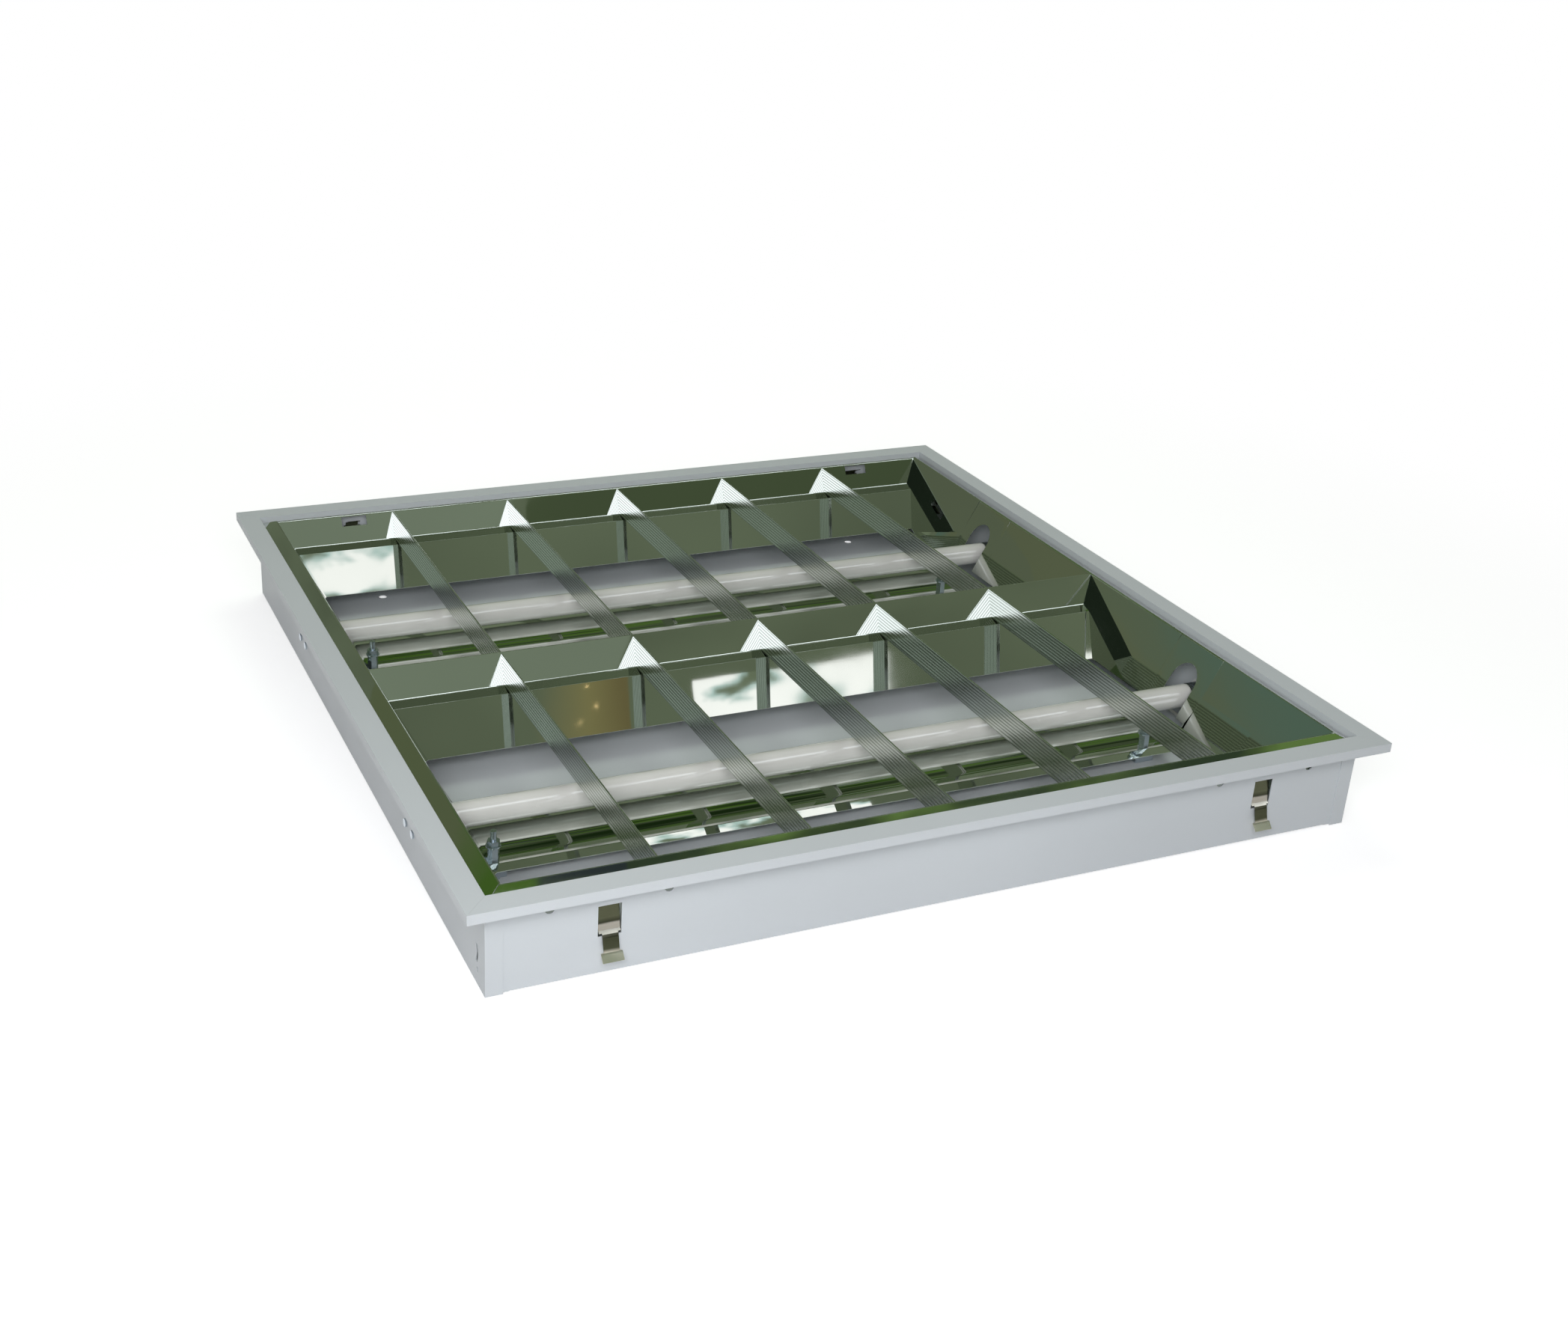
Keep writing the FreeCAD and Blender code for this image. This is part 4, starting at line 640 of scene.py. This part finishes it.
def end_mirror(name, side):
    """The sloped end mirror: three plain panels, two arches and the lip, welded together."""
    grids = [arch_grid(LAMP_Y), arch_grid(-LAMP_Y)]
    for low, high in ((-LIP, -LAMP_Y - ARCH_FRAME), (-LAMP_Y + ARCH_FRAME, LAMP_Y - ARCH_FRAME),
                      (LAMP_Y + ARCH_FRAME, LIP)):
        y, drop = np.meshgrid([low, high], [CREASE_DROP, SKIRT[1]], indexing="ij")
        grids.append(slope_point(y, drop))
    grids.append(lip_grid())
    points, faces = [], []
    for grid in grids:
        start = sum(len(part) for part in points)
        points.append(grid.reshape(-1, 3))
        faces.append(grid_faces(*grid.shape[:2]) + start)
    piece = new_piece(name, np.vstack(points) * (side, 1.0, 1.0), np.vstack(faces), "mirror_sheet",
                      "louvre")
    mend(piece, (-side, 0.0, 1.0))
    return thicken(piece, MIRROR_SHEET)


for side, side_name in ENDS:
    mirror = end_mirror("end_mirror_" + side_name, side)
    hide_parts("end_reflector_" + side_name)
print("end mirrors:", len(mirror.data.polygons), "faces each")

# %% [markdown]
# ## The cross blades
# Each blade is a strip folded over itself, so it stands almost upright, and rolled with fine
# grooves along its length. A bump could draw the grooves, but here they are real: narrow valleys
# between flat lands, because flat lands still mirror the facet beside them, and that doubled
# mirror makes the bright triangle at the far end of each blade. The ends are cut to the slope of
# the facets.
# %% blades
BLADES = 5            # in each of the two channels
BLADE_PITCH = 92.0
BLADE_HALF = 1.1      # half thickness of a blade at its foot
FOLD_HALF = 0.35      # and just under its fold
FOLD_HEIGHT = 0.25
BLADE_SHEET = 0.3
BLADE_EDGE = 0.03
GROOVE_DEPTH = 0.11
CHANNEL = LIP / 2     # middle line of a channel


def blade_profile():
    """Half section from the fold to the foot: flat lands with V grooves at even steps.

    A point's distance down the flank is s; its place is the straight flank less the groove's
    depth. The last point is the edge turned in under the blade.
    """
    middles = GROOVE_STEP * (FIRST_GROOVE + np.arange(GROOVES))
    groove = GROOVE_WIDTH * np.array([-0.5, 0.0, 0.5])
    s = np.concatenate([[0.0, FOLD_HEIGHT], (middles[:, None] + groove).ravel(), [BLADE_HEIGHT]])
    depth = np.zeros(len(s))
    depth[3:-1:3] = GROOVE_DEPTH
    x = FOLD_HALF + (BLADE_HALF - FOLD_HALF) * s / BLADE_HEIGHT - depth
    x[0] = FOLD_HALF / 3
    return np.append(x, BLADE_SHEET / 4), BLADE_DROP + np.append(s, BLADE_HEIGHT)


def blade(name, middle_x, middle_y):
    """One cross blade between two facets."""
    x, drop = blade_profile()
    x = np.concatenate([-x[::-1], x])
    drop = np.concatenate([drop[::-1], drop])
    reach = CHANNEL - JOINT - facet_run(drop)
    y = middle_y + reach[:, None] * np.linspace(-1.0, 1.0, 3)
    grid = np.stack([middle_x + np.broadcast_to(x[:, None], y.shape), y,
                     np.broadcast_to((TOP - drop)[:, None], y.shape)], axis=-1)
    piece = surface(name, grid, "blade_sheet", "louvre", flip=True)
    piece.data.polygons.foreach_set("use_smooth", np.zeros(len(piece.data.polygons), dtype=bool))
    return thicken(piece, BLADE_SHEET * 0.6, edge=BLADE_EDGE)


for side, side_name in SIDES:
    for number in range(BLADES):
        label = "%s_%d" % (side_name, number + 1)
        piece = blade("blade_" + label, BLADE_PITCH * (number - BLADES // 2), side * CHANNEL)
        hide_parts("cross_blade_" + label)
print("blades:", len(SIDES) * BLADES, "of", len(piece.data.polygons), "faces")

# %% [markdown]
# ## The mirror strips under the lamps
# Each strip is a shallow arch with a flat and a turned-down lip on both sides. It reflects the
# lamp as long bands, and a bent plane would put them in the wrong place, so the arch is a true
# circle through its rise and its half width.
# %% lamp reflectors
STRIP_X = (-258.0, 226.0)
STRIP_FLAT, STRIP_FOLD, STRIP_HALF = 30.0, 36.5, 42.5     # from the lamp's line outwards
STRIP_CREASE, STRIP_RISE, STRIP_LIP = 50.5, 4.6, 2.0      # drop of the flat, then up and down
STRIP_FOLD_RADIUS = 1.5
STRIP_SHEET = 0.5


def strip_profile():
    """Half section as (distance from the lamp's line, drop): arch, flat and lip.

    A circle with a rise h over a half width w has the radius (w * w + h * h) / (2 * h).
    """
    arch_y = np.linspace(0.0, STRIP_FLAT, 13)
    radius = (STRIP_FLAT ** 2 + STRIP_RISE ** 2) / (2 * STRIP_RISE)
    arch = STRIP_CREASE - STRIP_RISE + radius - np.sqrt(radius ** 2 - arch_y ** 2)
    edge = rounded([(STRIP_FLAT, STRIP_CREASE), (STRIP_FOLD, STRIP_CREASE),
                    (STRIP_HALF, STRIP_CREASE + STRIP_LIP)], [STRIP_FOLD_RADIUS])
    return np.vstack([np.column_stack([arch_y, arch]), edge[1:]])


def lamp_strip(name, side):
    """The strip under one lamp, its section mirrored and carried along X."""
    half = strip_profile()
    profile = np.vstack([half[:0:-1] * (-1.0, 1.0), half]) + (side * LAMP_Y, 0.0)
    x = np.broadcast_to(np.linspace(STRIP_X[0], STRIP_X[1], 9), (len(profile), 9))
    piece = extruded(name, profile, x, "mirror_sheet", "housing", flip=True)
    return thicken(piece, STRIP_SHEET)


for side, side_name in SIDES:
    strip = lamp_strip("lamp_strip_" + side_name, side)
    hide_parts("lamp_reflector_" + side_name)
print("lamp strips:", len(strip.data.polygons), "faces each")

# %% [markdown]
# ## The lamps
# A lamp is turned work: a profile spun round the lamp's line. A cylinder with a bevel would come
# close, but the glass narrows at its ends, and each cap is a thin cup crimped over it, so both
# are drawn as profiles.
# %% lamps
LAMP_DROP = 35.8      # the lamp's line below the flange
LAMP_RADIUS = 8.0
GLASS_HALF = 265.0
SHOULDER = 3.0        # the glass rounds off over this length
SHOULDER_RADIUS = 1.5
CAP_HALF = 274.5
CAP_RADIUS = 8.1
CAP_START = 0.1       # gap between the glass and its cap
DISH = (5.2, 5.0, 0.8)            # outer and inner radius of the cap's dished end, its depth
CAP_FOLDS = [0.3, 1.0, 0.3, 0.2]
POLE = 0.02           # radius at which a spun end closes


def turned(name, profile, middle_y, slot, body, steps=48):
    """A closed shell: (place along X, radius) spun round the line of a lamp."""
    angle = np.linspace(0.0, 2.0 * math.pi, steps, endpoint=False)
    along, radius = np.array(profile).T
    y = middle_y + radius[:, None] * np.cos(angle)
    z = TOP - LAMP_DROP + radius[:, None] * np.sin(angle)
    x = np.broadcast_to(along[:, None], y.shape)
    points = np.stack([x, y, z], axis=-1).reshape(-1, 3)
    faces = grid_faces(len(along), steps, wrap_columns=True)
    piece = new_piece(name, points, faces, slot, body)
    mend(piece)
    return piece


def lamp(name, side):
    """Glass tube with closed ends and two caps."""
    y = side * LAMP_Y
    body = "lamp_" + name
    shoulder = rounded([(GLASS_HALF - SHOULDER, LAMP_RADIUS), (GLASS_HALF, LAMP_RADIUS),
                        (GLASS_HALF, POLE)], [SHOULDER_RADIUS])
    tube = np.vstack([shoulder[::-1] * (-1.0, 1.0), shoulder])
    glass = turned("glass_tube_" + name, tube, y, "lamp_glass", body)
    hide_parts("lamp_glass_" + name)
    start, (rim, dish, depth) = GLASS_HALF + CAP_START, DISH
    for end, end_name in ENDS:
        cup = rounded([(start, POLE), (start, CAP_RADIUS), (CAP_HALF, CAP_RADIUS), (CAP_HALF, rim),
                       (CAP_HALF - depth, dish), (CAP_HALF - depth, POLE)], CAP_FOLDS)
        cap = turned("cap_%s_%s" % (name, end_name), cup * (end, 1.0), y, "cap_metal", body)
        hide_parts("lamp_cap_%s_%s" % (name, end_name))
    return glass


for side, side_name in SIDES:
    glass = lamp(side_name, side)
print("lamps:", len(glass.data.polygons), "faces of glass each")

# %% [markdown]
# ## Cards that only mirrors see
# Mirrors show what is round them, and what is round this light is a dim room beyond the picture.
# A photographed surrounding could be wrapped round the scene, but plain cards are easier to
# place: flat glowing faces that reflections can see, and the camera and matt surfaces can't. A
# card's glow is one colour, or drifts with noise, or runs from one colour to another.
# %% card helpers


class Glow(Network):
    """A card's material: nothing but glow, of one colour or of a field."""

    def __init__(self, name, colour, strength=1.0):
        super().__init__(bpy.data.materials.new(name), "Principled BSDF")
        self.tree.nodes.remove(self.shader)
        glow = self.add("ShaderNodeEmission", None, {"Color": (*colour, 1.0), "Strength": strength})
        self.shader = glow.socket.node
        self.show(glow)


def plain_glow(name, colour, strength=1.0):
    """A glow of one colour."""
    return Glow(name, colour, strength).block


def mottled_glow(name, stops, scale, stretch=EVEN, strength=1.0):
    """A glow whose colour drifts with soft noise."""
    glow = Glow(name, stops[0][1], strength)
    glow.feed("Color", glow.shade(glow.noise(scale, 3.0, stretch), stops))
    return glow.block


def drifting_glow(name, axis, low, high, stops):
    """A glow whose colour runs from one place to another along an axis, with a soft edge."""
    glow = Glow(name, stops[0][1])
    along = glow.add("ShaderNodeSeparateXYZ", None, {0: glow.place()}, output=axis)
    share = (along - low) / (high - low) + (glow.noise(3.0, 3.0) - 0.5) * 0.5
    glow.feed("Color", glow.shade(share, stops))
    return glow.block


def flat_face(name, corners, material):
    """An object with one face; corners in metres."""
    mesh = bpy.data.meshes.new(name)
    mesh.from_pydata(corners, [], [(0, 1, 2, 3)])
    mesh.materials.append(material)
    face = bpy.data.objects.new(name, mesh)
    bpy.context.scene.collection.objects.link(face)
    return face


def level_corners(x, y, height):
    """Corners of a level rectangle between two X and two Y places."""
    return [(x[0], y[0], height), (x[1], y[0], height), (x[1], y[1], height), (x[0], y[1], height)]


def card(name, corners, material):
    """A flat card for reflections only."""
    piece = flat_face(name, corners, material)
    piece.visible_camera = False
    piece.visible_diffuse = False
    piece.visible_shadow = False
    piece.visible_transmission = False


# %% [markdown]
# ## The dim room
# Four walls and a ceiling close the mirrors' view in olive greys. One even colour would make the
# sheet look painted, so the ceiling is mottled. The sizes of the room are in metres.
# %% room
ROOM_HALF = 6.0
ROOM_TOP = 1.9
WALL_FOOT = -0.2
OLIVE = (0.128, 0.158, 0.102)
WALL_OLIVE = (0.112, 0.135, 0.086)
room_span = (-ROOM_HALF, ROOM_HALF)
room_olive = mottled_glow("room_olive", [(0.30, grey_shift(OLIVE, -0.35)), (0.52, OLIVE),
                                         (0.72, grey_shift(OLIVE, 0.35))], 1.1)
wall_olive = plain_glow("wall_olive", WALL_OLIVE)
card("room_ceiling", level_corners(room_span, room_span, ROOM_TOP), room_olive)
floor_plan = level_corners(room_span, room_span, WALL_FOOT)
for number in range(4):
    (x0, y0, _), (x1, y1, _) = floor_plan[number], floor_plan[(number + 1) % 4]
    card("room_wall_%d" % number, [(x0, y0, WALL_FOOT), (x1, y1, WALL_FOOT), (x1, y1, ROOM_TOP),
                                   (x0, y0, ROOM_TOP)], wall_olive)
print("room:", 2 * ROOM_HALF, "m wide")

# %% [markdown]
# ## Window, beams and posts
# Each facet of the louvre looks at one place of the ceiling when it is seen from the
# photograph's angle. A card hangs there with what that facet shows: the big window in the tubes
# and the strips, pale and dark beams in the long mirrors, pale posts where the blades double.
# %% cards of the long mirrors
CARD_DROP = 0.02      # the cards hang this far below the ceiling
HUNG = ROOM_TOP - CARD_DROP
DEEP = (0.068, 0.092, 0.048)
PALE = (0.205, 0.250, 0.185)
POSTS = (0.33, 0.40, 0.345)
RIDGE_POSTS = (0.43, 0.51, 0.47)
BLACK_GREEN = (0.016, 0.024, 0.016)


def hung_card(name, x, y, material):
    """A level card under the ceiling, between two X and two Y places."""
    card(name, level_corners(x, y, HUNG), material)


hung_card("window_front_left", (-2.6, -0.35), (-4.6, -1.85),
          plain_glow("window", (0.93, 0.95, 1.05), 2.4))
hung_card("glow_beam_far", (0.95, 2.4), (-2.7, -2.2), plain_glow("beam", DEEP))
hung_card("glow_pale_far", (0.1, 0.9), (-2.7, -2.2), plain_glow("pale", PALE))
hung_card("glow_pale_ridge", (0.4, 1.3), (-3.8, -3.2), plain_glow("pale_low", PALE))
hung_card("glow_posts_far", (-1.42, -0.30), (-0.22, 0.02), plain_glow("posts", POSTS))
ridge_posts = plain_glow("ridge_posts", RIDGE_POSTS)
hung_card("glow_posts_ridge", (-1.17, -0.30), (-0.66, -0.48), ridge_posts)
hung_card("glow_posts_beyond", (-3.30, -1.175), (-1.15, -0.635), ridge_posts)
corner_dark = plain_glow("corner_dark", BLACK_GREEN)
hung_card("glow_corner_far", (-1.25, -0.90), (-0.46, -0.30), corner_dark)
hung_card("glow_corner_ridge", (-1.90, -1.175), (-0.63, -0.30), corner_dark)
print("cards hang at", HUNG, "m")

# %% [markdown]
# ## Bright folds and green lips
# A rounded fold looks over a wide stretch of ceiling, so a few long daylight cards draw a thin
# bright line along it. The lips and the end mirrors look back at leaves and slate.
# %% cards of the folds and lips
DAYLIGHT = (0.93, 1.0, 1.05)
LEAF = (0.075, 0.150, 0.025)
DARK_LEAF = (0.010, 0.022, 0.006)
SLATE = (0.028, 0.038, 0.042)
LIP_LEAVES = [(0.42, (0.035, 0.055, 0.030)), (0.50, (0.064, 0.098, 0.038)),
              (0.60, (0.130, 0.215, 0.062))]
LEFT_LEAVES = [(0.3, (0.060, 0.125, 0.022)), (0.7, (0.110, 0.135, 0.070))]
END_DRIFT = [(0.1, (0.093, 0.145, 0.109)), (0.5, (0.105, 0.140, 0.095)),
             (0.9, (0.118, 0.138, 0.080))]
fold_line = plain_glow("fold_line", DAYLIGHT, 3.0)
for number, x in enumerate(((-0.2, 0.55), (0.62, 1.35), (1.40, 2.2), (2.3, 3.2))):
    hung_card("glow_folds_%d" % number, x, (-1.70, -1.00), fold_line)
hung_card("glow_fold_low", (0.1, 2.6), (0.02, 0.09), plain_glow("fold_low", DAYLIGHT, 1.2))
hung_card("glow_lip", (0.42, 1.90), (-0.084, -0.045), mottled_glow("lip", LIP_LEAVES, 4.0))
hung_card("glow_lip_left", (-1.4, 0.3), (1.95, 3.6),
          drifting_glow("lip_left", "Y", 2.4, 3.0, LEFT_LEAVES))
hung_card("glow_end", (-5.9, -3.0), (3.2, 5.95), drifting_glow("end", "Y", 4.1, 5.4, END_DRIFT))
print("fold lines:", number + 1, "cards")

# %% [markdown]
# ## Streaks, panels and the amber light
# The strips beside the lamps show green streaks, and white panels with ragged edges stand in the
# lower facets. Both come from noise in the card's own coordinates; drawing their outlines by
# hand would take many points and look no truer.
# %% cards of the lower facets
STREAKS = [(0.36, DARK_LEAF), (0.47, DEEP), (0.53, LEAF), (0.58, DARK_LEAF), (0.64, PALE)]
PATCHES = [(0.38, OLIVE), (0.43, (0.42, 0.56, 0.54)), (0.50, (1.0, 1.0, 1.0))]
AMBER = [(0.05, OLIVE), (0.6, (0.235, 0.215, 0.095)), (0.95, (0.165, 0.140, 0.062))]
AMBER_DOTS = ((0.490, -0.610), (0.520, -0.585), (0.505, -0.545))
DOT_HALF = 0.0012
DOT_DROP = 0.002      # the dots hang this far below the amber card
hung_card("glow_streaks", (0.0, 2.4), (0.72, 1.90),
          mottled_glow("streaks", STREAKS, 5.0, (0.12, 1.0, 1.0)))
patches = mottled_glow("patches", PATCHES, 9.0, (1.0, 1.6, 1.0), 1.3)
hung_card("panel_strip", (0.55, 0.98), (0.43, 0.57), patches)
hung_card("panel_left", (0.08, 0.26), (-0.26, -0.085), patches)
hung_card("panel_ridge", (0.70, 1.085), (-0.66, -0.56), patches)
hung_card("amber_glow", (0.38, 0.58), (-0.66, -0.52),
          drifting_glow("amber", "X", 0.40, 0.58, AMBER))
amber_dot = plain_glow("amber_dot", (1.0, 0.70, 0.34), 6.0)
for number, (x, y) in enumerate(AMBER_DOTS):
    dot = level_corners((x - DOT_HALF, x + DOT_HALF), (y - DOT_HALF, y + DOT_HALF), HUNG - DOT_DROP)
    card("amber_dot_%d" % number, dot, amber_dot)
hung_card("lip_leaf", (0.20, 0.275), (-0.084, -0.03), plain_glow("lip_leaf", LEAF))
hung_card("lip_slate", (0.275, 0.42), (-0.084, -0.03), plain_glow("lip_slate", SLATE))
print("amber lights:", len(AMBER_DOTS))

# %% [markdown]
# ## The lawn and the yard
# The end mirrors and the lips also look past the white floor at the ground. Two low cards lie
# there, just above the floor: a lawn behind and a grey yard in front.
# %% low cards
LOW = 0.004
LAWN = [(0.40, (0.060, 0.110, 0.022)), (0.60, (0.105, 0.190, 0.035))]
YARD = (0.40, 0.41, 0.38)
card("glow_lawn", level_corners((-1.5, 5.9), (0.5, 5.9), LOW), mottled_glow("lawn", LAWN, 0.9))
card("glow_yard", level_corners((-2.5, 2.5), (-5.9, -0.7), LOW), plain_glow("yard", YARD))
print("low cards at", LOW, "m")

# %% [markdown]
# ## The floor
# The light lies on a plain white floor that keeps its shadow. More light would make the floor
# white but would bleach the paint too, so the floor glows a little for the rays of the camera and
# of mirrors, and only for them. Far from the light it fades into plain white.
# %% floor
FLOOR_COLOUR = (0.72, 0.72, 0.72)
FLOOR_ROUGHNESS = 0.9
FLOOR_LIFT = 0.62     # what the lamps leave short of white
FADE = (0.50, 0.95)   # distances, in metres, between which the floor turns plain white
FLOOR_HALF = 30.0
FLOOR_SINK = 0.0005   # keeps the floor clear of the tray's back
WHITE = (1.0, 1.0, 1.0, 1.0)


def ray_kind(network, name):
    """1 for rays of one kind, 0 for all others."""
    return network.add("ShaderNodeLightPath", output="Is %s Ray" % name)


def seen_directly(network):
    """1 for the rays of the camera and of mirrors, 0 for the light on matt surfaces."""
    return network.math("MAXIMUM", ray_kind(network, "Camera"), ray_kind(network, "Glossy"))


def floor_material():
    """Matt white floor that fades into plain white with distance from the luminaire.

    The glow's strength is FLOOR_LIFT where the floor is seen directly. The share of plain white
    is a smooth step over the distance, times the same 0 or 1.
    """
    matt = Network(bpy.data.materials.new("floor"), "Principled BSDF")
    matt.set("Base Color", (*FLOOR_COLOUR, 1.0))
    matt.set("Roughness", FLOOR_ROUGHNESS)
    matt.set("Specular IOR Level", 0.0)
    matt.set("Emission Color", WHITE)
    seen = seen_directly(matt)
    matt.feed("Emission Strength", seen * FLOOR_LIFT)
    place = matt.add("ShaderNodeTexCoord", output="Object")
    reach = matt.add("ShaderNodeVectorMath", {"operation": "LENGTH"}, {0: place}, output="Value")
    fade = matt.add("ShaderNodeMapRange", {"interpolation_type": "SMOOTHSTEP"},
                    {0: reach, 1: FADE[0], 2: FADE[1]})
    white = matt.add("ShaderNodeEmission", None, {"Color": WHITE, "Strength": 1.0})
    matt.show(matt.add("ShaderNodeMixShader", None, {
        0: fade * seen, 1: Field(matt, matt.shader.outputs[0]), 2: white}))
    return matt.block


floor_span = (-FLOOR_HALF, FLOOR_HALF)
floor = flat_face("floor", level_corners(floor_span, floor_span, 0.0), floor_material())
floor.location.z = -FLOOR_SINK
print("floor:", 2 * FLOOR_HALF, "m wide")

# %% [markdown]
# ## The light
# The world is plain white where it is seen, and much weaker as light, so that the shadow keeps
# its shape. One broad soft lamp hangs to the front left, as in the photograph, and a weaker
# greenish one lights the far side. Area lamps are used because small ones would make hard
# shadows.
# %% world and lamps
SOFT_WORLD = 0.24     # the world's strength as light on matt surfaces

world = bpy.data.worlds.new("studio")
bpy.context.scene.world = world
sky = Network(world, "Background")
seen = sky.math("MAXIMUM", seen_directly(sky), ray_kind(sky, "Transmission"))
sky.set("Color", WHITE)
sky.feed("Strength", sky.add("ShaderNodeMapRange", None, {0: seen, 3: SOFT_WORLD, 4: 1.0}))


def soft_lamp(name, place, target, width, depth, watts, colour):
    """An area lamp at a place, its -Z axis turned towards a target; sizes in metres."""
    light = bpy.data.lights.new(name, "AREA")
    light.shape = "RECTANGLE"
    light.size = width
    light.size_y = depth
    light.energy = watts
    light.color = colour
    holder = bpy.data.objects.new(name, light)
    holder.location = place
    direction = Vector(target) - Vector(place)
    holder.rotation_euler = direction.to_track_quat("-Z", "Y").to_euler()
    bpy.context.scene.collection.objects.link(holder)
    holder.visible_glossy = False
    return holder


key = soft_lamp("key", (-0.55, -1.10, 0.70), (-0.05, -0.05, 0.0), width=0.7, depth=0.5, watts=9.2,
                colour=(0.975, 0.985, 1.015))
fill = soft_lamp("fill", (0.3, 1.0, 1.5), (0.0, 0.0, 0.0), width=0.9, depth=0.9, watts=7.0,
                 colour=(0.88, 1.0, 0.84))
print("lamps:", key.data.energy, "W and", fill.data.energy, "W")

# %% [markdown]
# ## The camera
# The photograph was taken from the near left, looking down by 25 degrees. A camera could be
# moved by eye until the picture fits, but the light's corners in the picture give it exactly:
# where it looks, how far away it is, its turn, its focal length in pixels and where the lens axis
# meets the picture.
# %% camera
PHOTO_WIDTH, PHOTO_HEIGHT = 2095.0, 1764.0
FOCAL = 2576.41
AXIS = (981.87, 885.02)
AZIMUTH, ELEVATION, ROLL = -0.442342906, 0.434648779, 0.0559106638
TARGET = np.array([-34.572477, -39.6505195, -11.9223241 + TOP])
DISTANCE = 1285.36528
SENSOR = 36.0

back = np.array([math.sin(AZIMUTH) * math.cos(ELEVATION), -math.cos(AZIMUTH) * math.cos(ELEVATION),
                 math.sin(ELEVATION)])
level_right = np.cross([0.0, 0.0, 1.0], back)
level_right /= np.linalg.norm(level_right)
level_up = np.cross(back, level_right)
right = math.cos(ROLL) * level_right + math.sin(ROLL) * level_up
up = -math.sin(ROLL) * level_right + math.cos(ROLL) * level_up
place = (TARGET + back * DISTANCE) * MM
camera_data = bpy.data.cameras.new("camera")
camera_data.sensor_fit = "HORIZONTAL"
camera_data.sensor_width = SENSOR
camera_data.lens = FOCAL * SENSOR / PHOTO_WIDTH
camera_data.shift_x = (PHOTO_WIDTH / 2 - AXIS[0]) / PHOTO_WIDTH
camera_data.shift_y = (AXIS[1] - PHOTO_HEIGHT / 2) / PHOTO_WIDTH
camera_data.clip_end = 100.0
camera = bpy.data.objects.new("camera", camera_data)
bpy.context.scene.collection.objects.link(camera)
matrix = np.eye(4)
matrix[:3] = np.column_stack([right, up, back, place])
camera.matrix_world = matrix.T.tolist()
bpy.context.scene.camera = camera
bpy.context.scene.view_settings.view_transform = "Standard"
print("camera at", place.round(3))

# %% [markdown]
# ## The end
# The dressed model has to be as large as the imported one. The view layer is brought up to date.
# %% the end
bpy.context.view_layer.update()
